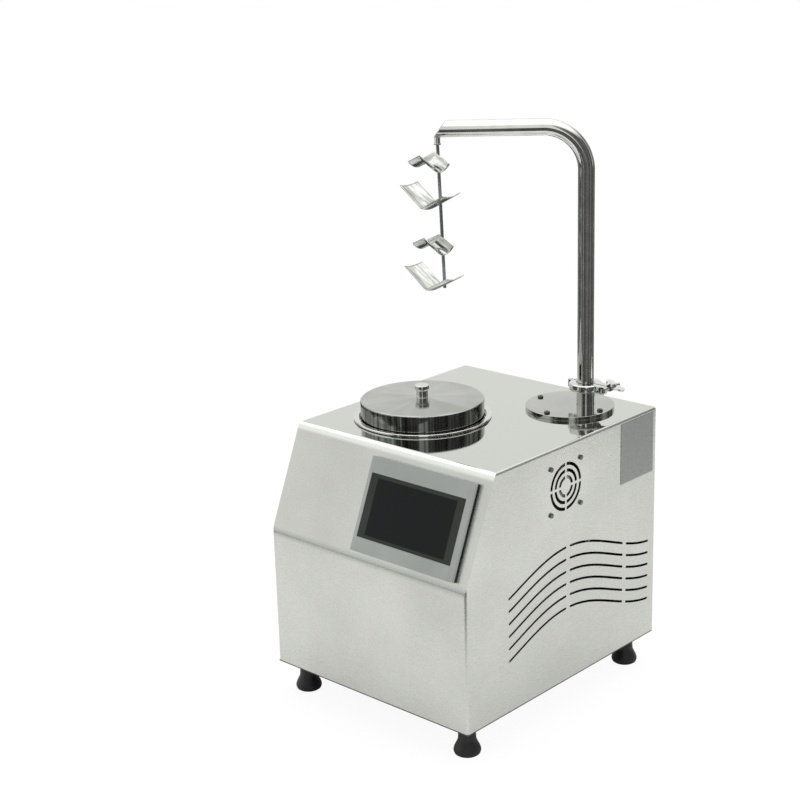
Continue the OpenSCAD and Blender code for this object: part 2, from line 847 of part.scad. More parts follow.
// Rubber gasket between the bezel and the panel
module hmi_gasket() {
    color(black) on_slope(hmi_x, hmi_u) difference() {
        slab(hmi_w - 2 * gasket_set, hmi_h - 2 * gasket_set, hmi_gasket_t);
        translate([0, 0, -over])
            slab(hmi_w - 2 * hmi_margin, hmi_h - 2 * hmi_margin, hmi_gasket_t + 2 * over);
    }
}

// Electronics housing behind the touch screen
module hmi_housing() {
    m = 2 * hmi_margin + 2 * seat_gap;
    color("#5b5f60") on_slope(hmi_x, hmi_u) translate([0, 0, -hmi_depth])
        slab(hmi_w - m, hmi_h - m, hmi_depth + hmi_gasket_t);
}

// Square fan frame with a round duct and a spider that carries the impeller
module fan_frame() {
    color(black) on_right(fan_in_x - fan_t) translate([0, fan_z, 0]) {
        difference() {
            translate([0, 0, fan_web_t]) slab(fan_size, fan_size, fan_t - fan_web_t);
            translate([0, 0, -over]) cylinder(r = duct_r, h = fan_t + 2 * over);
            corners(fan_pitch / 2, fan_pitch / 2)
                translate([0, 0, -over]) cylinder(r = fan_screw_r + fit_gap, h = fan_t + 2 * over);
        }
        slab(fan_size, fan_web_t * 2, fan_web_t);
        slab(fan_web_t * 2, fan_size, fan_web_t);
        cylinder(r = hub_r, h = fan_web_t);
        cylinder(r = fan_pin_r, h = fan_t - 2 * fan_web_t);
    }
}

// Fan impeller: hub with pitched blades, turning on the frame's pin
module fan_impeller() {
    low = fan_web_t + seat_gap;
    high = fan_t - fan_web_t;
    color("#26282a") on_right(fan_in_x - fan_t) translate([0, fan_z, 0]) difference() {
        union() {
            translate([0, 0, low]) cylinder(r = hub_r, h = high - low);
            for (k = [0 : fan_blades - 1])
                rotate([0, 0, 360 * k / fan_blades]) intersection() {
                    translate([0, 0, low + fan_blade_t])
                        cylinder(r = duct_r - fan_tip_gap, h = high - low - 2 * fan_blade_t);
                    translate([hub_r - fan_web_t, 0, fan_t / 2]) rotate([fan_blade_tilt, 0, 0])
                        translate([0, -fan_t, -fan_blade_t / 2])
                            cube([duct_r, 2 * fan_t, fan_blade_t]);
                }
        }
        cylinder(r = fan_pin_r + fit_gap, h = fan_t - 2 * fan_web_t + seat_gap);
    }
}

// Screws of the fan, through the grille panel into the frame
module fan_screws() {
    color(bright) on_right(side_x) translate([0, fan_z, 0])
        corners(fan_pitch / 2, fan_pitch / 2) {
            cylinder(r = fan_screw_head_r, h = fan_screw_head_h);
            translate([0, 0, -fan_t]) cylinder(r = fan_screw_r, h = fan_t);
        }
}

// Melting pot: deep bowl with the outlet pipe in its floor
module melting_pot() {
    low = pot_floor_z - pot_t;
    top = ledge_z - pot_t;
    color(bright) translate([pot_x, pot_y, 0]) difference() {
        rotate_extrude() polygon([
            [outlet_r - outlet_t, outlet_z], [outlet_r, outlet_z], [outlet_r, low],
            [pot_r + pot_t, low], [pot_r + pot_t, top], [pot_r, top], [pot_r, pot_floor_z],
            [outlet_r - outlet_t, pot_floor_z]
        ]);
        translate([probe_off, 0, low - over])
            cylinder(r = probe_r + fit_gap, h = pot_t + 2 * over);
    }
}

// Rim welded on the pot: ledge for the lid, mouth and flange
module pot_rim() {
    high = flange_z + flange_t;
    color(bright) translate([pot_x, pot_y, 0]) rotate_extrude() polygon([
        [pot_r, ledge_z - pot_t], [mouth_r + pot_t, ledge_z - pot_t], [mouth_r + pot_t, flange_z],
        [flange_r, flange_z], [flange_r, high - flange_edge], [flange_r - flange_edge, high],
        [mouth_r, high], [mouth_r, ledge_z], [pot_r, ledge_z]
    ]);
}

// Silicone seal between the flange and the top panel
module pot_seal() {
    color(black) translate([pot_x, pot_y, top_z]) difference() {
        cylinder(r = flange_r - 1, h = seal_t);
        translate([0, 0, -over]) cylinder(r = mouth_r + pot_t + seat_gap, h = seal_t + 2 * over);
    }
}

// Heating mat wrapped round the pot
module heating_mat() {
    color("#b5532c") translate([pot_x, pot_y, heater_z]) difference() {
        cylinder(r = heater_out_r, h = heater_h);
        translate([0, 0, -over])
            cylinder(r = pot_r + pot_t + heater_gap, h = heater_h + 2 * over);
    }
}

// Insulation round the heating mat
module pot_insulation() {
    h = ledge_z - pot_t - seat_gap - pot_floor_z;
    color("#d9d5c8") translate([pot_x, pot_y, pot_floor_z]) difference() {
        cylinder(r = heater_out_r + heater_gap + wool_t, h = h);
        translate([0, 0, -over]) cylinder(r = heater_out_r + heater_gap, h = h + 2 * over);
    }
}

// Temperature probe through the pot's floor
module temperature_probe() {
    low = pot_floor_z - pot_t;
    color(bright) translate([pot_x + probe_off, pot_y, 0]) {
        translate([0, 0, low - probe_nut_h]) cylinder(r = probe_nut_r, h = probe_nut_h, $fn = 6);
        translate([0, 0, low - probe_tail]) cylinder(r = probe_r, h = probe_tail + pot_t + probe_len);
    }
}

// Lid: shallow cap with a skirt that drops into the mouth
module lid() {
    low = ledge_z;
    flat = lid_r - lid_edge_r;
    color(bright) translate([pot_x, pot_y, 0]) difference() {
        union() {
            rotate_extrude() polygon([
                [0, low], [lid_r, low], [lid_r, lid_top_z - lid_edge_r],
                [flat, lid_top_z - lid_edge_r], [flat, lid_top_z],
                [knob_seat_r, knob_z], [0, knob_z]
            ]);
            translate([0, 0, lid_top_z - lid_edge_r])
                rotate_extrude() translate([flat, 0]) intersection() {
                    circle(lid_edge_r);
                    square(lid_edge_r);
                }
        }
        rotate_extrude() polygon([
            [0, low - over], [lid_r - lid_t, low - over],
            [lid_r - lid_t, lid_top_z - lid_edge_r], [flat, lid_top_z - lid_t],
            [knob_seat_r, knob_z - lid_t], [0, knob_z - lid_t]
        ]);
        cylinder(r = knob_screw_r + fit_gap, h = knob_z + over);
    }
}

// Turned knob of the lid
module lid_knob() {
    neck = knob_h - knob_head_h;
    round_r = 1.5;
    color(bright) translate([pot_x, pot_y, knob_z]) difference() {
        rotate_extrude() polygon([
            [0, 0], [knob_waist_r + 0.6, 0], [knob_waist_r, 1.2], [knob_waist_r, neck - 1.5],
            [knob_r - 0.4, neck + 1], [knob_r, neck + 2], [knob_r, knob_h - round_r],
            [knob_r - 0.45, knob_h - 0.45], [knob_r - round_r, knob_h], [0, knob_h]
        ]);
        translate([0, 0, -over]) cylinder(r = knob_screw_r + fit_gap, h = knob_bore_h + over);
    }
}

// Screw that holds the knob from under the lid
module knob_screw() {
    under = knob_z - lid_t;
    color(bright) translate([pot_x, pot_y, 0]) {
        translate([0, 0, under - knob_screw_r]) cylinder(r = knob_screw_r * 1.9, h = knob_screw_r);
        translate([0, 0, under - over])
            cylinder(r = knob_screw_r, h = lid_t + over + knob_bore_h - seat_gap);
    }
}

// Disc that fastens the post to the top panel
module base_disc() {
    color(bright) difference() {
        translate([disc_x, disc_y, top_z]) cylinder(r = disc_r, h = disc_t);
        translate([post_x, post_y, top_z - over])
            cylinder(r = riser_r + fit_gap, h = disc_t + 2 * over);
        at_disc_screws() translate([0, 0, top_z - over])
            cylinder(r = disc_screw_r + fit_gap, h = disc_t + 2 * over);
    }
}

// Screws of the base disc
module disc_screws() {
    color(bright) at_disc_screws() translate([0, 0, top_z + disc_t]) difference() {
        union() {
            cylinder(r = disc_screw_r * 1.8, h = disc_screw_r);
            translate([0, 0, -disc_t - 2 * sheet_t])
                cylinder(r = disc_screw_r, h = disc_t + 2 * sheet_t + over);
        }
        translate([0, 0, disc_screw_r * 0.4]) cylinder(r = disc_screw_r * 0.9, h = disc_screw_r, $fn = 6);
    }
}

// Riser pipe through the disc, with the lower ferrule on its top
module riser_pipe() {
    color(bright) translate([post_x, post_y, 0]) difference() {
        union() {
            translate([0, 0, riser_bottom_z])
                cylinder(r = riser_r, h = ferrule_low_z - riser_bottom_z);
            translate([0, 0, ferrule_low_z - ferrule_t]) cylinder(r = ferrule_r, h = ferrule_t);
        }
        translate([0, 0, riser_bottom_z - over])
            cylinder(r = bore_r, h = ferrule_low_z - riser_bottom_z + 2 * over);
    }
}

// Union nut joining the delivery pipe to the riser
module union_nut() {
    color(bright) translate([post_x, post_y, riser_bottom_z]) difference() {
        translate([0, 0, -union_h / 2]) cylinder(r = union_r, h = union_h, $fn = 6);
        cylinder(r = riser_r + fit_gap, h = union_h);
        translate([0, 0, -union_h]) cylinder(r = tube_r + fit_gap, h = union_h + over);
    }
}

// Seal between the two ferrules
module ferrule_seal() {
    color("#e8e6df") translate([post_x, post_y, ferrule_low_z]) difference() {
        cylinder(r = ferrule_r - seat_gap, h = ferrule_seal_t - seat_gap);
        translate([0, 0, -over]) cylinder(r = bore_r, h = ferrule_seal_t + 2 * over);
    }
}

// Ring of the clamp, grooved for the ferrules
module clamp_ring() {
    h = clamp_h / 2;
    lip_r = riser_r + 0.4;
    groove_r = ferrule_r + seat_gap;
    groove_h = ferrule_seal_t / 2 + ferrule_t + seat_gap;
    rotate_extrude() polygon([
        [lip_r, -h], [clamp_r - clamp_edge, -h], [clamp_r, -h + clamp_edge],
        [clamp_r, h - clamp_edge], [clamp_r - clamp_edge, h], [lip_r, h],
        [lip_r, groove_h], [groove_r, groove_h], [groove_r, -groove_h], [lip_r, -groove_h]
    ]);
}

// Box between two corners
module span(a, b) {
    translate(a) cube(b - a);
}

// Half of the plane beyond the clamp's split, towards +Y
module back_side() {
    span([-2 * cab_w, clamp_split, -cab_w], [2 * cab_w, cab_w, cab_w]);
}

// Room inside the clamp ring, which its lugs and knuckles keep clear of
module clamp_core() {
    translate([0, 0, -clamp_h]) cylinder(r = ferrule_r + 1.2, h = 2 * clamp_h);
}

// Places children at the middle of the clamp
module at_clamp() {
    translate([post_x, post_y, clamp_mid_z]) children();
}

// Front half of the clamp: hinge fork and the clevis of the bolt
module clamp_front() {
    h = clamp_h / 2;
    color(bright) at_clamp() {
        difference() {
            union() {
                mirror([0, 1, 0]) intersection() {
                    clamp_ring();
                    back_side();
                }
                difference() {
                    span([0, eye_y - eye_r, -h], [bolt_off + eye_r, -clamp_split, h]);
                    clamp_core();
                    span([bolt_off - eye_r - 1, -cab_w, -lug_slot], [cab_w, cab_w, lug_slot]);
                }
                difference() {
                    union() {
                        translate([-hinge_off, 0, -h]) cylinder(r = hinge_r, h = 2 * h);
                        span([-hinge_off, -hinge_r, -h], [0, -clamp_split, h]);
                    }
                    clamp_core();
                    translate([-hinge_off, 0, -knuckle_half - seat_gap])
                        cylinder(r = hinge_r + seat_gap, h = 2 * (knuckle_half + seat_gap));
                    span([-clamp_r - 2, -clamp_split, -cab_w], [0, cab_w, cab_w]);
                }
            }
            translate([bolt_off, eye_y, -cab_w]) cylinder(r = eye_pin_r + fit_gap, h = 2 * cab_w);
            translate([-hinge_off, 0, -cab_w]) cylinder(r = hinge_pin_r + fit_gap, h = 2 * cab_w);
        }
    }
}

// Back half of the clamp: hinge tongue and the open fork that the bolt drops into
module clamp_back() {
    h = clamp_h / 2;
    color(bright) at_clamp() difference() {
        union() {
            intersection() {
                clamp_ring();
                back_side();
            }
            difference() {
                span([0, clamp_split, -h], [bolt_off, clamp_split + lug_y, h]);
                clamp_core();
                span([clamp_r + 2, -cab_w, -lug_slot], [cab_w, cab_w, lug_slot]);
            }
            difference() {
                union() {
                    translate([-hinge_off, 0, -knuckle_half])
                        cylinder(r = hinge_r, h = 2 * knuckle_half);
                    span([-hinge_off, clamp_split, -knuckle_half], [0, hinge_r, knuckle_half]);
                }
                clamp_core();
                span([-clamp_r - 2, -cab_w, -cab_w], [0, clamp_split, cab_w]);
            }
        }
        translate([-hinge_off, 0, -cab_w]) cylinder(r = hinge_pin_r + fit_gap, h = 2 * cab_w);
    }
}

// Hinge pin and bolt pin of the clamp
module clamp_pins() {
    color(bright) at_clamp() {
        translate([-hinge_off, 0, -clamp_h / 2]) cylinder(r = hinge_pin_r, h = clamp_h);
        translate([bolt_off, eye_y, -clamp_h / 2]) cylinder(r = eye_pin_r, h = clamp_h);
    }
}

// Eye bolt of the clamp, swinging on its pin
module eye_bolt() {
    color(bright) at_clamp() translate([bolt_off, eye_y, 0]) difference() {
        union() {
            translate([0, 0, -bolt_r]) cylinder(r = eye_r, h = 2 * bolt_r);
            rotate([-90, 0, 0]) cylinder(r = bolt_r, h = bolt_len);
        }
        translate([0, 0, -2 * bolt_r]) cylinder(r = eye_pin_r + fit_gap, h = 4 * bolt_r);
    }
}

// Wing nut on the eye bolt
module wing_nut() {
    lobe_x = wing_span / 2 - wing_lobe_r;
    lobe_z = wing_hub_h + wing_lobe_r * 0.7;
    color(bright) at_clamp() translate([bolt_off, eye_y, 0]) rotate([-90, 0, 0])
        translate([0, 0, wing_z]) rotate([0, 0, wing_turn]) difference() {
            union() {
                cylinder(r1 = wing_hub_r, r2 = wing_hub_r - 1, h = wing_hub_h);
                translate([0, wing_t / 2, 0]) rotate([90, 0, 0]) linear_extrude(wing_t) {
                    for (s = [-1, 1]) {
                        translate([s * lobe_x, lobe_z]) circle(wing_lobe_r);
                        polygon([
                            [0, 2], [s * wing_hub_r, 2], [s * (lobe_x + 3), lobe_z - wing_lobe_r * 0.8],
                            [s * (lobe_x - 4), lobe_z + wing_lobe_r * 0.8], [0, wing_hub_h]
                        ]);
                    }
                }
            }
            translate([0, 0, -over]) cylinder(r = bolt_r + fit_gap, h = 4 * wing_hub_h);
        }
}

// Path of the arm: post, bend and level run, as a rod of radius r
module arm_path(r, low) {
    bend_low = arm_rise - arm_bend_r;
    translate([0, 0, low]) cylinder(r = r, h = bend_low - low);
    translate([arm_bend_r, 0, bend_low]) rotate([90, 0, 0]) rotate([0, 0, 90])
        rotate_extrude(angle = 90) translate([arm_bend_r, 0]) circle(r);
    translate([arm_bend_r, 0, arm_rise]) rotate([0, 90, 0])
        cylinder(r = r, h = arm_tip_x - arm_bend_r);
}

// Room behind the arm's mitred end, drawn in by a wall thickness
module mitre_side(wall) {
    translate([arm_tip_x, 0, arm_rise - tube_r]) rotate([0, -arm_mitre, 0])
        translate([-4 * cab_d - wall, -2 * cab_d, -2 * cab_d]) cube(4 * cab_d);
}

// Places children with the post's axis at the origin and the arm along +X
module at_post() {
    translate([post_x, post_y, top_z]) rotate([0, 0, arm_turn]) children();
}

// Arm: post tube with the upper ferrule, bend and level run with a closed mitred end
module arm_tube() {
    low = ferrule_top_z - top_z;
    color(bright) at_post() difference() {
        union() {
            intersection() {
                arm_path(tube_r, low);
                mitre_side(0);
            }
            translate([0, 0, low]) cylinder(r = ferrule_r, h = ferrule_t);
        }
        intersection() {
            arm_path(bore_r, low - over);
            mitre_side(tube_t);
        }
        translate([arm_reach, 0, arm_rise - nozzle_low])
            cylinder(r = nozzle_r + fit_gap, h = nozzle_len + nozzle_in);
    }
}

// Nozzle under the arm's tip, with a collar and the cross hole of the hanger pin
module nozzle() {
    color(bright) at_post() translate([arm_reach, 0, arm_rise - nozzle_low]) difference() {
        union() {
            cylinder(r = nozzle_r, h = nozzle_len + nozzle_in - seat_gap);
            cylinder(r = nozzle_collar_r, h = nozzle_collar_h);
        }
        translate([0, 0, -over]) cylinder(r = nozzle_r - nozzle_t, h = nozzle_low);
        rotate([0, 0, blade_turn - arm_turn]) translate([-2 * nozzle_r, 0, hanger_up])
            rotate([0, 90, 0]) cylinder(r = hanger_r + fit_gap, h = 4 * nozzle_r);
    }
}

// Places children with the cascade's rod as the Z axis, at the floor
module at_rod() {
    translate([nozzle_x, nozzle_y, 0]) children();
}

// Pin across the nozzle, from which the rod hangs
module hanger_pin() {
    color(bright) at_rod() translate([0, 0, hanger_z]) rotate([0, 0, blade_turn])
        translate([-nozzle_r, 0, 0]) rotate([0, 90, 0]) cylinder(r = hanger_r, h = 2 * nozzle_r);
}

// Places children on the cascade's rod, which leans from its pin
module on_rod() {
    at_rod() translate([0, 0, hanger_z]) rotate([0, 0, blade_turn]) rotate([rod_lean, 0, 0])
        rotate([0, 0, -blade_turn]) translate([0, 0, -hanger_z]) children();
}

// Rod of the cascade, with an eye at its top
module cascade_rod() {
    high = hanger_z + rod_r + hanger_r;
    color(bright) on_rod() difference() {
        translate([0, 0, rod_low_z]) cylinder(r = rod_r, h = high - rod_low_z);
        translate([0, 0, hanger_z]) rotate([0, 0, blade_turn]) translate([-2 * rod_r, 0, 0])
            rotate([0, 90, 0]) cylinder(r = hanger_r + fit_gap, h = 4 * rod_r);
    }
}

// Curved sheet along +X, hollow side up: a sector of a tube whose lowest line runs through
// the origin, rising by the angle a and cut upright at X = 0
module blade(r, half, length, a) {
    intersection() {
        rotate([0, -a, 0]) translate([-length, 0, r]) rotate([0, 90, 0]) rotate([0, 0, -half])
            rotate_extrude(angle = 2 * half) translate([r - blade_t, 0])
                square([blade_t, 2 * length]);
        span([0, -4 * r, -4 * r - length], [4 * length, 4 * r, 4 * r + length]);
    }
}

// Two curved sheets that meet at an upright crease, tilted, with their back edge at the rod
module blade_pair(r, half, right, left, a, tilt, off) {
    front = rod_r + fit_gap + r * sin(half);
    rotate([0, 0, blade_turn]) translate([-off, -front, 0]) rotate([0, tilt, 0]) {
        blade(r, half, right, a);
        mirror([1, 0, 0]) blade(r, half, left, a);
    }
}

// Small leaf that parts the stream: a half pipe that falls away on both sides of its crease
module leaf(down) {
    color(bright) on_rod() translate([0, 0, arm_z - leaf_drop - down])
        blade_pair(leaf_r, leaf_half, leaf_long, leaf_short, -leaf_slope, 0, leaf_off);
}

// Larger trough that gathers the stream again: a shallow gutter that rises on both sides
module trough(down) {
    color(bright) on_rod() translate([0, 0, arm_z - trough_drop - down])
        blade_pair(trough_r, trough_half, trough_len, trough_len, trough_slope,
                   trough_tilt, trough_off);
}
module upper_leaf() { leaf(0); }
module lower_leaf() { leaf(set_pitch); }
module upper_trough() { trough(0); }
module lower_trough() { trough(set_pitch); }

// Outline of a pump gear: straight-flanked teeth with backlash
module gear_outline(turn) {
    step = 360 / gear_teeth;
    tip = gear_pitch_r + gear_add;
    root = gear_pitch_r - gear_ded;
    function at(r, a) = r * [cos(a), sin(a)];
    polygon([
        for (k = [0 : gear_teeth - 1])
            let (m = turn + k * step)
                each [
                    at(root, m - step * 0.33), at(gear_pitch_r, m - step * 0.2),
                    at(tip, m - step * 0.08), at(tip, m + step * 0.08),
                    at(gear_pitch_r, m + step * 0.2), at(root, m + step * 0.33)
                ]
    ]);
}
module gear(x, turn) {
    color(bright) translate([x, pump_y, cavity_z + end_gap]) difference() {
        linear_extrude(gear_h) gear_outline(turn);
        translate([0, 0, -over]) cylinder(r = shaft_r + fit_gap, h = gear_h + 2 * over);
    }
}
module drive_gear() { gear(drive_x, 0); }
module idler_gear() { gear(idler_x, 180 / gear_teeth); }

// Drive shaft, from the gearbox through the seal to the pump cover
module drive_shaft() {
    low = bracket_z - bracket_t - shaft_seat;
    color(bright) translate([drive_x, pump_y, low])
        cylinder(r = shaft_r, h = shaft_top_z - seat_gap - low);
}

// Idler shaft, between the pump body's floor and the cover
module idler_shaft() {
    low = cavity_z - pump_floor * 0.6 + seat_gap;
    color(bright) translate([idler_x, pump_y, low])
        cylinder(r = shaft_r, h = shaft_top_z - seat_gap - low);
}

// Places children at the pump's corner screws
module at_pump_screws() {
    translate([pump_x, pump_y, 0]) corners(pump_screw_dx, pump_screw_dy) children();
}

// Pump body with the gear cavity, ports and bearing bores
module pump_body() {
    color("#a9adae") difference() {
        translate([pump_x, pump_y, bracket_z]) slab(pump_w, pump_d, pump_top_z - bracket_z);
        for (x = [drive_x, idler_x])
            translate([x, pump_y, cavity_z]) cylinder(r = cavity_r, h = pump_top_z);
        for (s = [-1, 1])
            translate([pump_x, pump_y + s * port_off, cavity_z]) cylinder(r = port_r, h = pump_top_z);
        translate([pump_x, pump_y + port_off, port_z]) rotate([-90, 0, 0])
            cylinder(r = port_r, h = pump_d);
        translate([pump_x, pipe_start_y, port_z]) rotate([-90, 0, 0])
            cylinder(r = tube_r + fit_gap, h = pump_d);
        translate([drive_x, pump_y, 0]) cylinder(r = shaft_r + fit_gap, h = pump_top_z);
        translate([drive_x, pump_y, bracket_z - over]) cylinder(r = seal_r + fit_gap, h = seal_h + over);
        translate([idler_x, pump_y, cavity_z - pump_floor * 0.6])
            cylinder(r = shaft_r + fit_gap, h = pump_top_z);
        at_pump_screws() cylinder(r = pump_screw_r + fit_gap, h = pump_top_z + over);
    }
}

// Pump cover with the inlet neck for the pot's outlet pipe
module pump_cover() {
    h = cover_top_z - pump_top_z;
    color("#a9adae") difference() {
        union() {
            translate([pump_x, pump_y, pump_top_z]) slab(pump_w, pump_d, h);
            translate([pot_x, pot_y, cover_top_z]) cylinder(r = outlet_r + neck_t, h = neck_h);
        }
        translate([pot_x, pot_y, outlet_z]) cylinder(r = outlet_r + fit_gap, h = pump_d);
        translate([pot_x, pot_y, 0]) cylinder(r = port_r, h = cover_top_z);
        for (x = [drive_x, idler_x])
            translate([x, pump_y, 0]) cylinder(r = shaft_r + fit_gap, h = shaft_top_z);
        at_pump_screws() cylinder(r = pump_screw_r + fit_gap, h = cover_top_z + over);
    }
}

// Screws through the pump's cover and body into the bracket
module pump_screws() {
    color(bright) at_pump_screws() {
        translate([0, 0, cover_top_z]) cylinder(r = pump_screw_r * 1.7, h = pump_screw_r * 2);
        translate([0, 0, bracket_z - bracket_t])
            cylinder(r = pump_screw_r, h = cover_top_z - bracket_z + bracket_t + over);
    }
}

// Lip seal round the drive shaft, in the pump body's underside
module shaft_seal() {
    color(black) translate([drive_x, pump_y, bracket_z]) difference() {
        cylinder(r = seal_r, h = seal_h - end_gap);
        translate([0, 0, -over]) cylinder(r = shaft_r + fit_gap, h = seal_h + 2 * over);
    }
}

// Gearbox under the bracket, with a hollow output bore
module gearbox() {
    color("#8f9496") translate([drive_x, pump_y, bracket_z - bracket_t - gearbox_h]) difference() {
        cylinder(r = gearbox_r, h = gearbox_h);
        translate([0, 0, gearbox_h - shaft_seat - seat_gap])
            cylinder(r = shaft_r + fit_gap, h = gearbox_h);
    }
}

// Motor under the gearbox
module motor() {
    cap = motor_h * 0.13;
    color("#3a3d40") translate([drive_x, pump_y, bracket_z - bracket_t - gearbox_h - motor_h]) {
        translate([0, 0, cap]) cylinder(r = motor_r, h = motor_h - cap);
        cylinder(r1 = motor_r - cap / 2, r2 = motor_r - cap / 4, h = cap);
    }
}

// Bracket that stands on the base plate and carries the pump and the motor
module pump_bracket() {
    w = bracket_w + 2 * bracket_t;
    color(satin) translate([pump_x, pump_y, 0]) difference() {
        union() {
            translate([0, 0, bracket_z - bracket_t]) slab(w, bracket_d, bracket_t);
            for (s = [-1, 1]) {
                translate([s * (w - bracket_t) / 2, 0, floor_z]) slab(bracket_t, bracket_d, bracket_h);
                translate([s * (w + bracket_foot) / 2, 0, floor_z])
                    slab(bracket_foot, bracket_d, bracket_t);
            }
        }
        translate([gear_pitch_r, 0, bracket_z - 2 * bracket_t])
            cylinder(r = shaft_hole_r, h = 3 * bracket_t);
        translate([-pump_x, -pump_y, 0])
            at_pump_screws() translate([0, 0, bracket_z - 2 * bracket_t])
                cylinder(r = pump_screw_r + fit_gap, h = 3 * bracket_t);
    }
}

// Path of the delivery pipe as a rod of radius r: back, across and up to the riser
module pipe_path(r, start, stop) {
    b = pipe_bend_r;
    back = post_y - b - start;
    across = post_x - pump_x - 2 * b;
    translate([pump_x, start, port_z]) {
        rotate([-90, 0, 0]) cylinder(r = r, h = back);
        translate([b, back, 0]) {
            rotate([0, 0, 90]) rotate_extrude(angle = 90) translate([b, 0]) circle(r);
            translate([0, b, 0]) {
                rotate([0, 90, 0]) cylinder(r = r, h = across);
                translate([across, 0, b]) {
                    rotate([90, 0, 0]) rotate([0, 0, -90])
                        rotate_extrude(angle = 90) translate([b, 0]) circle(r);
                    translate([b, 0, 0]) cylinder(r = r, h = stop - port_z - b);
                }
            }
        }
    }
}

// Delivery pipe from the pump to the riser
module delivery_pipe() {
    color(bright) difference() {
        pipe_path(tube_r, pipe_start_y, riser_bottom_z);
        pipe_path(bore_r, pipe_start_y - over, riser_bottom_z + over);
    }
}

// Power supply on the base plate
module power_supply() {
    color("#aeb3b5") translate([supply_x, supply_y, floor_z]) {
        slab(supply_w, supply_d, supply_h);
        translate([0, -supply_d / 4, supply_h]) slab(supply_w * 0.6, supply_d * 0.2, terminal_h);
    }
}

// Control board on four posts, with relays and capacitors
module control_board() {
    top = board_post_h + board_t;
    color("#2f6b45") translate([board_x, board_y, floor_z]) {
        translate([0, 0, board_post_h]) slab(board_w, board_d, board_t);
        corners(board_w / 2 - 2 * board_post_r, board_d / 2 - 2 * board_post_r)
            cylinder(r = board_post_r, h = board_post_h);
        for (k = [-1, 0, 1])
            translate([k * board_w * 0.25, board_d * 0.2, top])
                slab(board_w * 0.16, board_d * 0.3, relay_h);
        for (k = [-1, 1])
            translate([k * board_w * 0.2, -board_d * 0.25, top])
                cylinder(r = board_w * 0.07, h = capacitor_h);
    }
}

// Places children on the rear cover: local X to the left seen from behind, local Z outwards
module on_inlet() {
    translate([inlet_x, back_y, inlet_mid_z]) rotate([-90, 0, 0]) children();
}

// Power inlet with a socket and the opening of the rocker
module power_inlet() {
    hole_w = rocker_w + 2 * rocker_gap;
    hole_h = rocker_h + 2 * rocker_gap;
    color(black) on_inlet() difference() {
        union() {
            slab(inlet_w, inlet_h, inlet_t);
            translate([0, 0, -inlet_depth]) slab(inlet_body_w, inlet_body_h, inlet_depth);
        }
        translate([0, -socket_up, inlet_t - socket_depth]) difference() {
            slab(socket_w, socket_h, socket_depth + over);
            for (k = [-1, 0, 1])
                translate([k * blade_pitch, abs(k) * blade_shift - blade_shift / 2, -over])
                    slab(blade_w, blade_d, blade_up + over);
        }
        translate([0, rocker_down, inlet_t - inlet_depth * 0.7]) slab(hole_w, hole_h, inlet_depth);
        translate([rocker_cheek - inlet_body_w / 2, rocker_down, inlet_t - rocker_pivot]) rotate([0, 90, 0])
            cylinder(r = rocker_pin_r + fit_gap, h = inlet_body_w - 2 * rocker_cheek);
    }
}

// Rocker of the power switch, pressed in at its upper end
module power_rocker() {
    h = rocker_h / 2;
    face = rocker_pivot - rocker_low;
    rim = [h - rocker_draft, face + rocker_fall];
    foot = [h - rocker_fall, -rocker_skirt];
    pin_w = inlet_body_w - 2 * rocker_cheek;
    color("#2a2c2e") on_inlet()
        translate([0, rocker_down, inlet_t - rocker_pivot]) rotate([rocker_tilt, 0, 0]) {
            translate([-rocker_w / 2, 0, 0]) rotate([90, 0, 90]) linear_extrude(rocker_w)
                polygon([[-foot.x, foot.y], foot, rim, [0, face], [-rim.x, rim.y]]);
            translate([seat_gap - pin_w / 2, 0, 0]) rotate([0, 90, 0])
                cylinder(r = rocker_pin_r, h = pin_w - 2 * seat_gap);
        }
}

cabinet_shell();
rear_cover();
rear_cover_screws();
base_plate();
foot_front_left();
foot_front_right();
foot_back_left();
foot_back_right();
foot_bolts();
blank_plate();
hmi_bezel();
hmi_screen();
hmi_gasket();
hmi_housing();
fan_frame();
fan_impeller();
fan_screws();
melting_pot();
pot_rim();
pot_seal();
heating_mat();
pot_insulation();
temperature_probe();
lid();
lid_knob();
knob_screw();
base_disc();
disc_screws();
riser_pipe();
union_nut();
ferrule_seal();
clamp_front();
clamp_back();
clamp_pins();
eye_bolt();
wing_nut();
arm_tube();
nozzle();
hanger_pin();
cascade_rod();
upper_leaf();
upper_trough();
lower_leaf();
lower_trough();
pump_body();
pump_cover();
pump_screws();
drive_gear();
drive_shaft();
shaft_seal();
idler_gear();
idler_shaft();
gearbox();
motor();
pump_bracket();
delivery_pipe();
power_supply();
control_board();
power_inlet();
power_rocker();
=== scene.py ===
"""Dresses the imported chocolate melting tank: smooth turned and bent steel pieces,
procedural finishes, studio light and the camera of the product photograph."""
import json
import math

import bmesh
import bpy
import numpy as np
from mathutils import Matrix

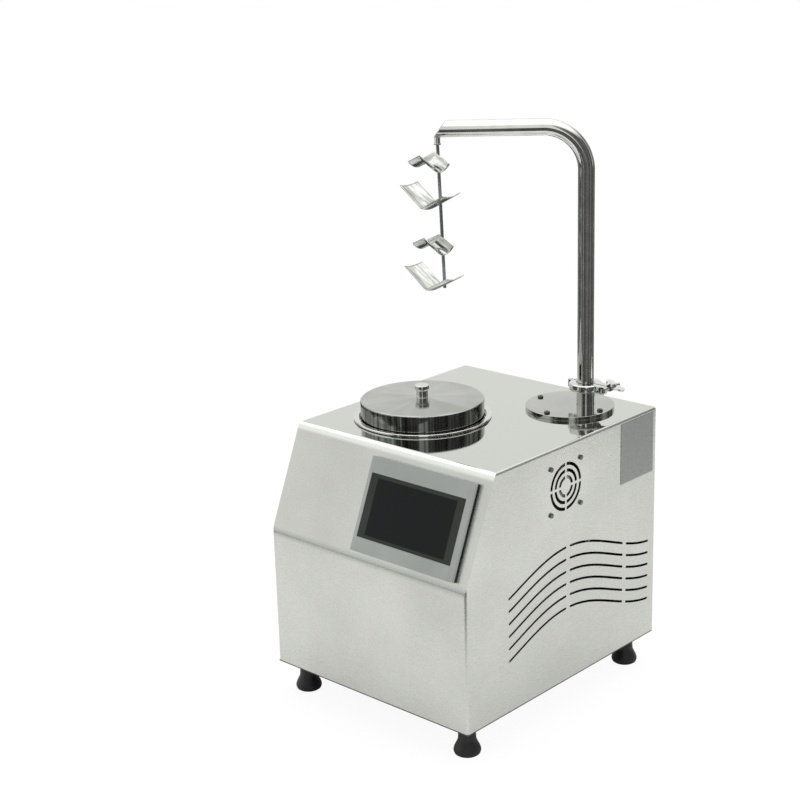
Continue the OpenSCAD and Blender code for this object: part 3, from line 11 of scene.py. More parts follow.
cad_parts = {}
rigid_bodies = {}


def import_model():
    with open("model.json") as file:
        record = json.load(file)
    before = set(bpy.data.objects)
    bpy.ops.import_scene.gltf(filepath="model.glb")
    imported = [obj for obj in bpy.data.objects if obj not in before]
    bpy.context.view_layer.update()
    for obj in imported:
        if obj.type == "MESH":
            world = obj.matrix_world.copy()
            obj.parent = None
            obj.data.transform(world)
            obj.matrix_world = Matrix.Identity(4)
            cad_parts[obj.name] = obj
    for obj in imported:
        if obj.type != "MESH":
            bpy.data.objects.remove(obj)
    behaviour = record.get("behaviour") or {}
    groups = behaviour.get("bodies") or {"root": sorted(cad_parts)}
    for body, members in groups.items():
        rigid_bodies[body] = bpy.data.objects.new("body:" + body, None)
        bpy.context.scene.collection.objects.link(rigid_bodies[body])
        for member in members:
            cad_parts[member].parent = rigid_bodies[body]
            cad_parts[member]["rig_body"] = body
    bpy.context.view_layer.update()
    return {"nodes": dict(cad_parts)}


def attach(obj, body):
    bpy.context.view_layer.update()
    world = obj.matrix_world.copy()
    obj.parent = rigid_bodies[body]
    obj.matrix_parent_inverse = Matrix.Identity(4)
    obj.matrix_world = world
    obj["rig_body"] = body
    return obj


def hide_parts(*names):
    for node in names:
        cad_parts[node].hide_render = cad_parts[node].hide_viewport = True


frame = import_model()
cad = frame["nodes"]
scene = bpy.context.scene
scene.view_settings.view_transform = "Standard"


# Camera: a long lens to the front right of the tank and a little above its lid.
# It was levelled by hand, so the picture leans by a degree or two.
def aim(azimuth, elevation, roll=0.0):
    """Camera axes as columns (right, up, back) from the heading, the height angle and the lean."""
    a, e, r = np.radians([azimuth, elevation, roll])
    back = np.array([math.sin(a) * math.cos(e), -math.cos(a) * math.cos(e), math.sin(e)])
    level = np.array([math.cos(a), math.sin(a), 0.0])
    rise = np.cross(back, level)
    right = math.cos(r) * level + math.sin(r) * rise
    up = math.cos(r) * rise - math.sin(r) * level
    return Matrix(np.stack([right, up, back], axis=1).tolist())


SENSOR = 36.0
PICTURE_WIDTH, FOCAL_LENGTH = 800, 1694.95  # pixels
lens = bpy.data.cameras.new("studio_camera")
lens.sensor_width = SENSOR
lens.lens = SENSOR * FOCAL_LENGTH / PICTURE_WIDTH
lens.clip_end = 100.0
camera = bpy.data.objects.new("studio_camera", lens)
tripod = Matrix.Translation((1.62576, -1.88515, 1.23479))
camera.matrix_world = tripod @ aim(43.023, 17.172, -1.673).to_4x4()
scene.collection.objects.link(camera)
scene.camera = camera


# Studio: an oval sheet of white paper under the tank, standing white sheets, a pale ceiling
# and soft lamps. Between them polished steel mirrors a dark room with thin bright strips.
# From below the paper is clear, so that the underside shows.
def linear(code):
    """Linear RGBA of an sRGB hex colour such as c6c8c3."""
    c = np.array([int(code[k:k + 2], 16) for k in (0, 2, 4)]) / 255
    return (*np.where(c <= 0.04045, c / 12.92, ((c + 0.055) / 1.055) ** 2.4), 1.0)


def link(made, sources):
    """Links inputs of a shader node to sockets, or to the first outputs of other nodes."""
    for key, source in sources.items():
        out = source.outputs[0] if isinstance(source, bpy.types.Node) else source
        made.id_data.links.new(out, made.inputs[key])


def add(tree, kind, values=None, links=None, stops=(), **settings):
    """Adds a shader node, sets its attributes and input values, and links its inputs. The stops
    of a colour ramp are pairs of a place and either a grey level or a hex colour."""
    made = tree.nodes.new("ShaderNode" + kind)
    for key, value in settings.items():
        setattr(made, key, value)
    for key, value in (values or {}).items():
        made.inputs[key].default_value = value
    link(made, links or {})
    for _ in stops[2:]:
        made.color_ramp.elements.new(0.5)
    for k, (place, tone) in enumerate(stops):
        made.color_ramp.elements[k].position = place
        made.color_ramp.elements[k].color = (
            linear(tone) if isinstance(tone, str) else (tone, tone, tone, 1.0))
    return made


def finish(name, **values):
    """Starts a material with a Principled shader and returns material, tree and shader."""
    made = bpy.data.materials.new(name)
    made.use_nodes = True
    shader = made.node_tree.nodes["Principled BSDF"]
    for key, value in values.items():
        shader.inputs[key.replace("_", " ").title()].default_value = value
    return made, made.node_tree, shader


HALF_LENGTH, HALF_WIDTH = 2.0, 0.75
oval = np.linspace(0, 2 * math.pi, 96, endpoint=False)
along, across = HALF_LENGTH * np.cos(oval), HALF_WIDTH * np.sin(oval)
paper_rim = np.stack([along - across, along + across, 0 * oval], 1) / math.sqrt(2)
floor_mesh = bpy.data.meshes.new("studio_floor")
floor_mesh.from_pydata(paper_rim.tolist(), [], [list(range(len(oval)))])
floor = bpy.data.objects.new("studio_floor", floor_mesh)
scene.collection.objects.link(floor)

# White paper: matt, and shown close to white, with a tenth of its own shading for the shadow.
paper, tree, shader = finish("white_studio_paper", base_color=linear("f4f4f2"), roughness=0.9)
rays = add(tree, "LightPath")
glow = add(tree, "Emission", {"Color": (1, 1, 1, 1), "Strength": 1.03})
share = add(tree, "Math", {1: 0.9}, {0: rays.outputs["Is Camera Ray"]}, operation="MULTIPLY")
blend = add(tree, "MixShader", links={0: share, 1: shader, 2: glow})
below = add(tree, "NewGeometry")
clear = add(tree, "BsdfTransparent")
sided = add(tree, "MixShader", links={0: below.outputs["Backfacing"], 1: blend, 2: clear})
link(tree.nodes["Material Output"], {"Surface": sided})
floor_mesh.materials.append(paper)

# Room: its bearing runs from 0 to 1 round the tank, and the sheets stand at four of its spans.
world = bpy.data.worlds.new("pale_room")
world.use_nodes = True
scene.world = world
tree = world.node_tree
place = add(tree, "TexCoord")
axes = add(tree, "SeparateXYZ", links={0: place.outputs["Generated"]})
bearing = add(tree, "Math", links={0: axes.outputs[1], 1: axes.outputs[0]}, operation="ARCTAN2")
walls = add(tree, "TexNoise", {"Scale": 6.0, "Detail": 4.0, "Roughness": 0.7}, {"W": bearing},
            noise_dimensions="1D")
strips = add(tree, "ValToRGB", links={0: walls},
             stops=((0.4, 0.03), (0.52, 0.12), (0.6, 0.26), (0.68, 0.9)))
share = add(tree, "MapRange", {1: -math.pi, 2: math.pi, 3: 0.0, 4: 1.0}, {0: bearing})
sheets = add(tree, "ValToRGB", links={0: share}, stops=(
    (0.0, 0.5), (0.04, 1.0), (0.2, 1.0), (0.235, 0.0),
    (0.345, 0.0), (0.352, 1.0), (0.386, 1.0), (0.393, 0.0),
    (0.6, 0.0), (0.62, 0.45), (0.65, 0.45), (0.67, 0.0),
    (0.74, 0.0), (0.77, 1.0), (0.97, 1.0), (1.0, 0.5)))
above = add(tree, "MapRange", {1: -0.12, 2: -0.04, 3: 0.0, 4: 1.0}, {0: axes.outputs[2]})
standing = add(tree, "Math", links={0: sheets, 1: above}, operation="MULTIPLY")
ceiling = add(tree, "MapRange", {1: 0.5, 2: 0.75, 3: 0.0, 4: 1.0}, {0: axes.outputs[2]})
pale = add(tree, "Mix", {7: (1.0, 1.0, 0.98, 1)}, {0: standing, 6: strips}, data_type="RGBA")
room = add(tree, "Mix", {7: (1.7, 1.7, 1.67, 1)}, {0: ceiling, 6: pale.outputs[2]},
           data_type="RGBA")
rays = add(tree, "LightPath")
seen = add(tree, "Mix", {6: (0.8, 0.8, 0.8, 1)},
           {0: rays.outputs["Is Glossy Ray"], 7: room.outputs[2]}, data_type="RGBA")
white = add(tree, "Mix", {7: (1, 1, 1, 1)},
            {0: rays.outputs["Is Camera Ray"], 6: seen.outputs[2]}, data_type="RGBA")
link(tree.nodes["Background"], {"Color": white.outputs[2]})

for name, spot, target, size, power in (
        ("key_lamp", (-1.6, -2.6, 2.6), (0, 0, 0.35), (1.6, 1.2), 12),
        ("side_lamp", (2.8, 0.6, 1.6), (0, 0, 0.3), (1.2, 1.6), 27),
        ("top_lamp", (-0.3, 0.4, 2.8), (0, 0, 0.4), (1.6, 1.6), 24)):
    light = bpy.data.lights.new(name, "AREA")
    light.shape = "RECTANGLE"
    light.size, light.size_y = size
    light.energy = power
    lamp = bpy.data.objects.new(name, light)
    reach = np.array(spot) - np.array(target)
    lamp.matrix_world = Matrix.Translation(spot) @ aim(
        math.degrees(math.atan2(reach[0], -reach[1])),
        math.degrees(math.asin(reach[2] / np.linalg.norm(reach)))).to_4x4()
    lamp.visible_glossy = False
    scene.collection.objects.link(lamp)


# Cabinet: 1.5 mm stainless sheet, folded and welded, with a satin grain on the upright
# faces and a brighter top. The rear cover and the pump bracket are of the same steel.
MM = 0.001


def flat_kept(mesh, angle):
    """Gives a triangle mesh normals that keep flat faces flat beside smooth bends: at each corner,
    the faces within the angle count by the square of the area of the plane that they lie in, and
    corners whose normals differ are parted."""
    faces = mesh.polygons
    normal = np.array([f.normal for f in faces])
    offset = np.einsum("ij,ij->i", normal, np.array([f.center for f in faces]))
    # Faces share a plane if their normals agree to 1/500 and their offsets to 0.05 mm.
    plane = np.round(np.column_stack([normal * 500, offset / MM * 20])).astype(int)
    _, group = np.unique(plane, axis=0, return_inverse=True)
    group = group.ravel()
    weight = np.bincount(group, [f.area for f in faces])[group] ** 2
    corner = np.array([c.vertex_index for c in mesh.loops])
    owner = np.repeat(np.arange(len(faces)), 3)
    # Each corner is paired with every face round its vertex.
    count = np.bincount(corner)
    start = np.cumsum(count) - count
    mates = count[corner]
    k = np.repeat(np.arange(len(corner)), mates)
    step = np.arange(len(k)) - np.repeat(np.cumsum(mates) - mates, mates)
    other = owner[np.argsort(corner, kind="stable")[start[corner[k]] + step]]
    near = np.einsum("ij,ij->i", normal[owner[k]], normal[other]) > math.cos(math.radians(angle))
    k, other = k[near], other[near]
    pull = weight[other, None] * normal[other]
    set_to = np.stack([np.bincount(k, pull[:, axis]) for axis in range(3)], 1)
    set_to /= np.linalg.norm(set_to, axis=1)[:, None]
    _, first, fresh = np.unique(np.column_stack([corner, np.round(set_to * 500)]), axis=0,
                                return_index=True, return_inverse=True)
    spots = [mesh.vertices[v].co[:] for v in corner[first]]
    mesh.clear_geometry()
    mesh.from_pydata(spots, [], fresh.reshape(-1, 3).tolist())
    mesh.shade_smooth()
    mesh.normals_split_custom_set(set_to.tolist())


def softened(name, material, bevel=0.0, angle=30):
    """Copy of a CAD node with its loose corners merged and its bends smooth up to the angle. Its
    edges are eased by a bevel in millimetres, or else its flat faces are kept flat."""
    mesh = cad[name].data.copy()
    work = bmesh.new()
    work.from_mesh(mesh)
    bmesh.ops.remove_doubles(work, verts=work.verts, dist=1e-6)
    bmesh.ops.dissolve_degenerate(work, edges=work.edges, dist=1e-5)
    bmesh.ops.triangulate(work, faces=work.faces)
    work.to_mesh(mesh)
    work.free()
    mesh.shade_smooth()
    mesh.set_sharp_from_angle(angle=math.radians(angle))
    mesh.materials.clear()
    mesh.materials.append(material)
    made = bpy.data.objects.new(name + "_finished", mesh)
    scene.collection.objects.link(made)
    if bevel:
        edge = made.modifiers.new("eased_edges", "BEVEL")
        edge.width = bevel * MM
        edge.segments = 2
        edge.limit_method = "ANGLE"
        edge.angle_limit = math.radians(angle)
        edge.harden_normals = True
    else:
        flat_kept(mesh, angle)
    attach(made, cad[name]["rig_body"])
    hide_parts(name)
    return made


def paint(material, *names):
    """Gives CAD nodes, whose shape stays as it is, their finish."""
    for name in names:
        cad[name].data.materials.clear()
        cad[name].data.materials.append(material)


# Satin stainless: a belt-ground grain of about 0.4 mm, drawn 1.1 mm wide and 17 mm long so that
# it shows, leaves broad soft reflections, and the top panel was left close to a mirror. Painted
# shade darkens a band along the lower fold, and a painted highlight brightens the upper fold.
FOLD_HEIGHT = 0.271
satin, tree, shader = finish("satin_stainless_sheet", metallic=1.0)
place = add(tree, "TexCoord").outputs["Object"]
stretch = add(tree, "Mapping", {"Scale": (60, 60, 900)}, {0: place})
grain = add(tree, "TexNoise", {"Scale": 1.0, "Detail": 4.0}, {0: stretch})
cloud = add(tree, "TexNoise", {"Scale": 7.0, "Detail": 3.0}, {0: place})
face = add(tree, "NewGeometry")
lie = add(tree, "SeparateXYZ", links={0: face.outputs["Normal"]})
upward = add(tree, "MapRange", {1: 0.85, 2: 0.98, 3: 0.0, 4: 1.0}, {0: lie.outputs[2]})
rough = add(tree, "MapRange", {1: 0.3, 2: 0.7, 3: 0.25, 4: 0.31}, {0: grain})
mirror = add(tree, "Mix", {3: 0.05}, {0: upward, 2: rough})
tone = add(tree, "ValToRGB", links={0: cloud}, stops=((0.35, "c2c4bf"), (0.65, "cccec9")))
spot = add(tree, "SeparateXYZ", links={0: place})
front = add(tree, "MapRange", {1: -0.3, 2: -0.1, 3: 1.0, 4: 0.0}, {0: lie.outputs[1]})
rise = add(tree, "Math", {1: FOLD_HEIGHT}, {0: spot.outputs[2]}, operation="SUBTRACT")
far = add(tree, "Math", links={0: rise}, operation="ABSOLUTE")
# Painted shade: a darker band along the lower fold of the front-facing faces.
lower_fold_shade_band = add(tree, "MapRange", {1: 0.001, 2: 0.008, 3: 0.75, 4: 0.0}, {0: far})
painted_fold_shade = add(tree, "Math", links={0: lower_fold_shade_band, 1: front}, operation="MULTIPLY")
lower = add(tree, "Mix", {7: linear("a4a6a2")}, {0: painted_fold_shade, 6: tone}, data_type="RGBA")
# Painted highlight: a brighter band along the upper fold of the front-facing faces.
edge = add(tree, "MapRange", {1: 0.42, 2: 0.4245, 3: 0.0, 4: 1.0}, {0: spot.outputs[2]})
painted_fold_highlight = add(tree, "Math", links={0: edge, 1: front}, operation="MULTIPLY")
upper = add(tree, "Mix", {7: linear("e9ebe7")}, {0: painted_fold_highlight, 6: lower.outputs[2]}, data_type="RGBA")
sheet = add(tree, "Mix", {7: linear("c8cac5")}, {0: upward, 6: upper.outputs[2]}, data_type="RGBA")
relief = add(tree, "Bump", {"Strength": 0.012, "Distance": 0.2 * MM}, {"Height": grain})
link(shader, {"Base Color": sheet.outputs[2], "Roughness": mirror, "Normal": relief})
shell = softened("cabinet_shell", satin)
softened("rear_cover", satin, 0.3)
paint(satin, "pump_bracket")


def mottled(name, dark, light, size, ends=(0.3, 0.7), detail=3.0, wear=None, grain=None, **values):
    """Material whose colour goes from dark to light over a noise of a size in millimetres. With
    wear, its roughness follows that noise between two values. With grain, a noise of its own size,
    detail and strength raises bumps of up to 0.1 mm."""
    made, tree, shader = finish(name, **values)
    place = add(tree, "TexCoord").outputs["Object"]
    noise = add(tree, "TexNoise", {"Scale": 1 / (size * MM), "Detail": detail}, {0: place})
    tone = add(tree, "ValToRGB", links={0: noise}, stops=((ends[0], dark), (ends[1], light)))
    link(shader, {"Base Color": tone})
    if wear:
        rough = add(tree, "MapRange", {1: 0.35, 2: 0.7, 3: wear[0], 4: wear[1]}, {0: noise})
        link(shader, {"Roughness": rough})
    if grain:
        size, detail, strength = grain
        pores = add(tree, "TexNoise", {"Scale": 1 / (size * MM), "Detail": detail}, {0: place})
        relief = add(tree, "Bump", {"Strength": strength, "Distance": 0.1 * MM}, {"Height": pores})
        link(shader, {"Normal": relief})
    return made


# Cut edges: the laser leaves the walls of the slots and of the grille dark with oxide.
# They are the upright strips in the thickness of the sides, clear of the sheet's own outline
# and more than 12 mm behind the sloping front.
shell.data.materials.append(mottled("laser_cut_edge", "101010", "1d1d1c", 0.667, detail=2.0,
                                    roughness=0.6))
strips = shell.data.polygons
corners = np.array([f.vertices for f in strips])
spots = np.array([v.co for v in shell.data.vertices])[corners] / MM
in_side = (np.abs(spots[..., 0]).min(axis=1) > 194.9) & (np.abs([f.normal.x for f in strips]) < 0.1)
_, y, z = spots.mean(axis=1).T
behind_slope = 0.919 * (y + 231) - 0.394 * (z - FOLD_HEIGHT / MM)
cut = in_side & (z > 60) & (z < 420) & (np.abs(y) < 220) & (behind_slope > 12)
strips.foreach_set("material_index", cut.astype(np.int32))


# Screws: stock stainless machine screws with turned heads. They hold the rear cover, the fan
# and the post's disc, and out of sight the feet, the pump and the knob.
# Plain stainless: grey, with a mottle of 2.5 mm from handling.
screw_steel = mottled("plain_stainless_screw", "565857", "727473", 2.5, detail=2.0,
                      metallic=1.0, roughness=0.28)
for name in ("rear_cover_screws", "fan_screws", "disc_screws"):
    softened(name, screw_steel, 0.3)
paint(screw_steel, "foot_bolts", "pump_screws", "knob_screw")


# Base plate: a painted steel sheet that closes the cabinet from below and carries the feet.
# From the front it shows as a dark line.
# Dark paint: sprayed, with an orange peel of 1.4 mm that dims its gloss.
base_paint = mottled("dark_painted_steel", "3a3b3b", "454646", 1.43, detail=2.0,
                     grain=(1.43, 2.0, 0.2), roughness=0.55)
softened("base_plate", base_paint)


# Feet: black rubber, moulded round a bolt, flared towards a rounded sole.
# Each is a turned form, so its skin is one profile carried round the foot's axis.
def skin(name, points, material, around=False, angle=40):
    """Mesh over a grid of points (rows, columns, xyz), closed round its columns if asked. Each
    four neighbours make a face, and rows that shrink to a point close a pole."""
    rows, cols = points.shape[:2]
    i, j = np.meshgrid(np.arange(rows - 1), np.arange(cols if around else cols - 1), indexing="ij")
    k = (j + 1) % cols
    quads = np.stack([i * cols + j, i * cols + k, (i + 1) * cols + k, (i + 1) * cols + j], -1)
    mesh = bpy.data.meshes.new(name)
    mesh.from_pydata(points.reshape(-1, 3).tolist(), [], quads.reshape(-1, 4).tolist())
    work = bmesh.new()
    work.from_mesh(mesh)
    bmesh.ops.remove_doubles(work, verts=work.verts, dist=1e-7)
    bmesh.ops.recalc_face_normals(work, faces=work.faces)
    work.to_mesh(mesh)
    work.free()
    mesh.shade_smooth()
    mesh.set_sharp_from_angle(angle=math.radians(angle))
    mesh.materials.append(material)
    made = bpy.data.objects.new(name, mesh)
    scene.collection.objects.link(made)
    return made


def rounded(*corners, steps=6):
    """Profile through corners (r, z, radius): each becomes an arc tangent to both its sides."""
    spots = np.array([c[:2] for c in corners], float)
    line = [spots[:1]]
    for here, before, after, corner in zip(spots[1:-1], spots[:-2], spots[2:], corners[1:-1]):
        a = (before - here) / np.linalg.norm(before - here)
        b = (after - here) / np.linalg.norm(after - here)
        half = math.acos(np.clip(a @ b, -1, 1)) / 2
        sweep = math.pi - 2 * half
        centre = here + (a + b) / np.linalg.norm(a + b) * corner[2] / math.sin(half)
        start, end = (here + d * corner[2] / math.tan(half) - centre for d in (a, b))
        t = np.linspace(0, 1, steps)[:, None]
        arc = np.sin((1 - t) * sweep) * start + np.sin(t * sweep) * end
        line.append(centre + arc / math.sin(sweep))
    return np.concatenate([*line, spots[-1:]])


def turned(name, profile, centre, material, sides):
    """Surface of revolution: each profile point (r, z), in mm, goes round an upright axis."""
    a = np.linspace(0, 2 * math.pi, sides, endpoint=False)
    r, z = np.asarray(profile).T[:, :, None]
    ring = np.stack([r * np.cos(a), r * np.sin(a), z + 0 * a], -1) + np.array([*centre, 0.0])
    return skin(name, ring * MM, material, around=True)


# Black rubber: matt, with moulded pores of 1.1 mm and a faint bloom in patches of 25 mm.
rubber = mottled("moulded_black_rubber", "070707", "101011", 25, (0.35, 0.7), 2.0,
                 grain=(1.11, 3.0, 0.25), roughness=0.5)

FOOT_X, FOOT_Y = 165.8, 197.6
flare = np.linspace(0, 1, 24)
waist = np.stack([13.5 + 7 * (1 + np.cos(math.pi * flare)) / 2, 5.5 + 21 * flare], 1)
sole = rounded((0, 0, 0), (17, 0, 0.8), (19.33, 1.65, 2.0), (20.5, 5.5, 0))[:-1]
foot_profile = np.concatenate([sole, waist, [[12.5, 50], [0, 50]]])
for name, x, y in (("foot_front_left", -FOOT_X, -FOOT_Y), ("foot_front_right", FOOT_X, -FOOT_Y),
                   ("foot_back_left", -FOOT_X, FOOT_Y), ("foot_back_right", FOOT_X, FOOT_Y)):
    made = turned(name + "_moulded", foot_profile, (x, y), rubber, 64)
    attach(made, "cabinet")
    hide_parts(name)


# Touch screen: a moulded grey bezel with chamfered sides, dark glass set flush in it,
# and a rubber gasket that seals it to the sloping panel. The housing is behind the panel.
# Grey ABS: a spark-eroded mould left pores of 0.8 mm and a faint unevenness over 83 mm.
bezel_grey = mottled("moulded_grey_abs", "949996", "9ea3a0", 83.3, (0.35, 0.7), 2.0,
                     grain=(0.833, 2.0, 0.12), roughness=0.42)
softened("hmi_bezel", bezel_grey, 0.8, 8)

# Cover glass: dark, with an anti-glare film whose haze varies over 71 mm, and a display of
# 154 x 86 mm behind it, 79 mm high on the slope, darker than the grey-green print round it.
SCREEN_X, SCREEN_HEIGHT = 0.0744, 0.3502
glass, tree, shader = finish("dark_cover_glass", roughness=0.25)
shader.inputs["Specular IOR Level"].default_value = 0.12
place = add(tree, "TexCoord").outputs["Object"]
centred = add(tree, "Mapping", {"Location": (-SCREEN_X, 0.0, 0.0)}, {0: place})
parts = add(tree, "SeparateXYZ", links={0: centred})
wide = add(tree, "Math", links={0: parts.outputs[0]}, operation="ABSOLUTE")
inside = add(tree, "MapRange", {1: 0.0765, 2: 0.0775, 3: 1.0, 4: 0.0}, {0: wide})
up = add(tree, "Math", {1: SCREEN_HEIGHT}, {0: parts.outputs[2]}, operation="SUBTRACT")
tall = add(tree, "Math", links={0: up}, operation="ABSOLUTE")
within = add(tree, "MapRange", {1: 0.0391, 2: 0.0399, 3: 1.0, 4: 0.0}, {0: tall})
display = add(tree, "Math", links={0: inside, 1: within}, operation="MULTIPLY")
haze = add(tree, "TexNoise", {"Scale": 14.0, "Detail": 3.0}, {0: place})
tone = add(tree, "ValToRGB", links={0: haze}, stops=((0.35, "303430"), (0.7, "363a36")))
panel = add(tree, "Mix", {7: linear("141617")}, {0: display, 6: tone}, data_type="RGBA")
link(shader, {"Base Color": panel.outputs[2]})
softened("hmi_screen", glass, 0.2)
paint(rubber, "hmi_gasket", "pot_seal", "shaft_seal")

# Dark grey ABS: moulded, with a speckle of 1.1 mm.
housing_grey = mottled("dark_grey_abs", "55595a", "606465", 1.11, detail=2.0, roughness=0.5)
paint(housing_grey, "hmi_housing")


# Blank plate: a thin metal label, stuck to the right side and left bare.
# Label foil: rolled and satin, darker than the sheet, with a fibre of 3.3 mm.
foil = mottled("satin_label_foil", "888b89", "959896", 3.33, metallic=0.6, roughness=0.45)
softened("blank_plate", foil, 0.1)


# Fan: moulded plastic, screwed behind the ring slots of the right side, through which it shows.
# The mains inlet at the back and its rocker are of the same plastic.
# Glass-filled nylon: black and matt, with flecks of 2 mm.
fan_black = mottled("black_glass_filled_nylon", "1a1b1c", "262829", 2, detail=2.0, roughness=0.5)
paint(fan_black, "fan_frame", "power_inlet", "power_rocker")

# Impeller: black blades round a hub with a pale grey face, 36 mm across, flecked by 3.3 mm.
FAN_HEIGHT = 0.3666
hub_grey, tree, shader = finish("fan_with_pale_hub", roughness=0.5)
place = add(tree, "TexCoord").outputs["Object"]
centred = add(tree, "Mapping", {"Location": (0, 0, -FAN_HEIGHT), "Scale": (0, 1, 1)}, {0: place})
reach = add(tree, "VectorMath", links={0: centred}, operation="LENGTH")
fleck = add(tree, "TexNoise", {"Scale": 300.0}, {0: place})
tone = add(tree, "ValToRGB", links={0: fleck}, stops=((0.3, "a4a7a6"), (0.7, "b2b5b4")))
hub = add(tree, "MapRange", {1: 0.0176, 2: 0.018, 3: 0.0, 4: 1.0}, {0: reach.outputs["Value"]})
hub_tone = add(tree, "Mix", {7: linear("202223")}, {0: hub, 6: tone}, data_type="RGBA")
link(shader, {"Base Color": hub_tone.outputs[2]})
paint(hub_grey, "fan_impeller")


# Melting pot: pressed from 1.5 mm stainless sheet and polished, hung in the top panel by its
# flange ring, with an outlet pipe below. Only the ring and the mouth show.
# Mirror-polished stainless: bright, with faint marks of 17 mm from the buffing wheel.
polished = mottled("mirror_polished_stainless", "c9cac6", "d9dad7", 16.67, detail=4.0,
                   wear=(0.05, 0.12), metallic=1.0, roughness=0.08)

POT = (-61.5, -26.6)
pot_profile = rounded(
    (12, 282, 0), (90, 282, 12), (90, 424.5, 0.2), (91.5, 424.5, 0.2), (91.5, 280.5, 13),
    (14, 280.5, 1), (14, 204.2, 0.2), (12, 204.2, 0.2), (12, 282, 0))
pot = turned("melting_pot_polished", pot_profile, POT, polished, 192)
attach(pot, "cabinet")
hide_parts("melting_pot")

rim_profile = rounded(
    (90, 424.5, 0), (90, 426, 0.4), (98.5, 426, 1.2), (98.5, 436, 1.4), (107.3, 436, 1.4),
    (107.3, 433, 0.3), (100, 433, 0.3), (100, 424.5, 1.4), (90, 424.5, 0))
rim_ring = turned("pot_rim_polished", rim_profile, POT, polished, 192)
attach(rim_ring, "cabinet")
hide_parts("pot_rim")


# Lid: a shallow spun cap whose skirt drops into the mouth, with a turned knob on top.
# Spun stainless: painted reflections in its colour, pale and dark sectors about 60 mm long on its
# top and dark and light streaks 7 mm apart on its skirt, which is darker than the top as painted
# shade. Buffed in arcs on the lathe, it has rings of 1.4 mm in its roughness and mirrors less than
# the tubes.
spun, tree, shader = finish("spun_stainless_painted_reflections", metallic=1.0)
place = add(tree, "TexCoord").outputs["Object"]
centred = add(tree, "Mapping", {"Location": (-POT[0] * MM, -POT[1] * MM, 0)}, {0: place})
parts = add(tree, "SeparateXYZ", links={0: centred})
bearing = add(tree, "Math", links={0: parts.outputs[1], 1: parts.outputs[0]}, operation="ARCTAN2")
# Painted reflection: pale and dark sectors round the lid's axis, mixed with a smudge noise.
painted_sector_noise = add(tree, "TexNoise", {"Scale": 1.6, "Detail": 3.0, "Roughness": 0.6}, {"W": bearing},
             noise_dimensions="1D")
smudge = add(tree, "TexNoise", {"Scale": 16.0, "Detail": 2.0}, {0: place})
both = add(tree, "Mix", {0: 0.45}, {2: painted_sector_noise, 3: smudge})
tone = add(tree, "ValToRGB", links={0: both}, stops=((0.38, "9a9c97"), (0.62, "b2b4b0")))
# Painted reflection: dark and light streaks round the skirt, darker overall than the top as painted
# shade.
painted_streak_noise = add(tree, "TexNoise", {"Scale": 14.0, "Detail": 4.0, "Roughness": 0.7}, {"W": bearing},
            noise_dimensions="1D")
skirt_painted_streaks = add(tree, "ValToRGB", links={0: painted_streak_noise}, stops=((0.35, "4a4c49"), (0.65, "969894")))
face = add(tree, "NewGeometry")
lie = add(tree, "SeparateXYZ", links={0: face.outputs["Normal"]})
upward = add(tree, "MapRange", {1: 0.3, 2: 0.8, 3: 0.0, 4: 1.0}, {0: lie.outputs[2]})
# The top takes the painted sectors and the upright skirt the painted streaks.
lid_painted_reflection = add(tree, "Mix", links={0: upward, 6: skirt_painted_streaks, 7: tone}, data_type="RGBA")
away = add(tree, "VectorMath", links={0: centred}, operation="LENGTH")
rings = add(tree, "TexNoise", {"Scale": 700.0, "Detail": 2.0}, {"W": away.outputs["Value"]},
            noise_dimensions="1D")
wear = add(tree, "MapRange", {1: 0.3, 2: 0.7, 3: 0.08, 4: 0.17}, {0: rings})
link(shader, {"Base Color": lid_painted_reflection.outputs[2], "Roughness": wear})
lid_profile = rounded(
    (0, 464.5, 0), (13, 464.5, 4), (93, 462, 4), (96.3, 461.4, 2.6), (96.3, 426, 0.4),
    (95.1, 426, 0.4), (95.1, 460.2, 1.6), (92.6, 460.9, 2), (13, 463.3, 4), (0, 463.3, 0))
lid = turned("lid_spun", lid_profile, POT, spun, 192)
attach(lid, "lid")
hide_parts("lid")

knob_profile = rounded(
    (0, 464.5, 0), (9.7, 464.5, 0.3), (9.1, 465.8, 0.8), (9.1, 474.6, 1.5), (11.2, 477.3, 0.8),
    (11.5, 482.4, 1.4), (10.4, 483.1, 0.8), (0, 483.1, 0))
knob = turned("lid_knob_turned", knob_profile, POT, polished, 96)
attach(knob, "lid")
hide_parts("lid_knob")


# Post foot: a turned disc screwed to the top panel, with the riser pipe standing in it.
# The pipe ends in a ferrule, on which the arm's own ferrule sits.
# Turned stainless: a fine lathe finish, a little duller than the tubes, uneven over 50 mm.
turned_steel = mottled("fine_turned_stainless", "a8aaa5", "b2b4af", 50, (0.35, 0.65),
                       wear=(0.06, 0.12), metallic=1.0)
softened("base_disc", turned_steel, 0.5)
POST = (110.2, 163.9)
riser_profile = rounded(
    (11.2, 352, 0), (14.1, 352, 0.4), (14.1, 463.6, 0.4), (22.4, 463.6, 0.3), (22.4, 466.4, 0.3),
    (11.2, 466.4, 0.2), (11.2, 352, 0))
riser = turned("riser_turned", riser_profile, POST, polished, 96)
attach(riser, "cabinet")
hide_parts("riser_pipe")


# Clamp: two cast and polished halves, hinged on a pin and drawn together by a wing nut
# on an eye bolt. Their edges are eased by polishing.
for name in ("clamp_front", "clamp_back", "eye_bolt", "wing_nut"):
    softened(name, polished, 0.5)
for name in ("clamp_pins", "union_nut"):
    softened(name, polished, 0.2)


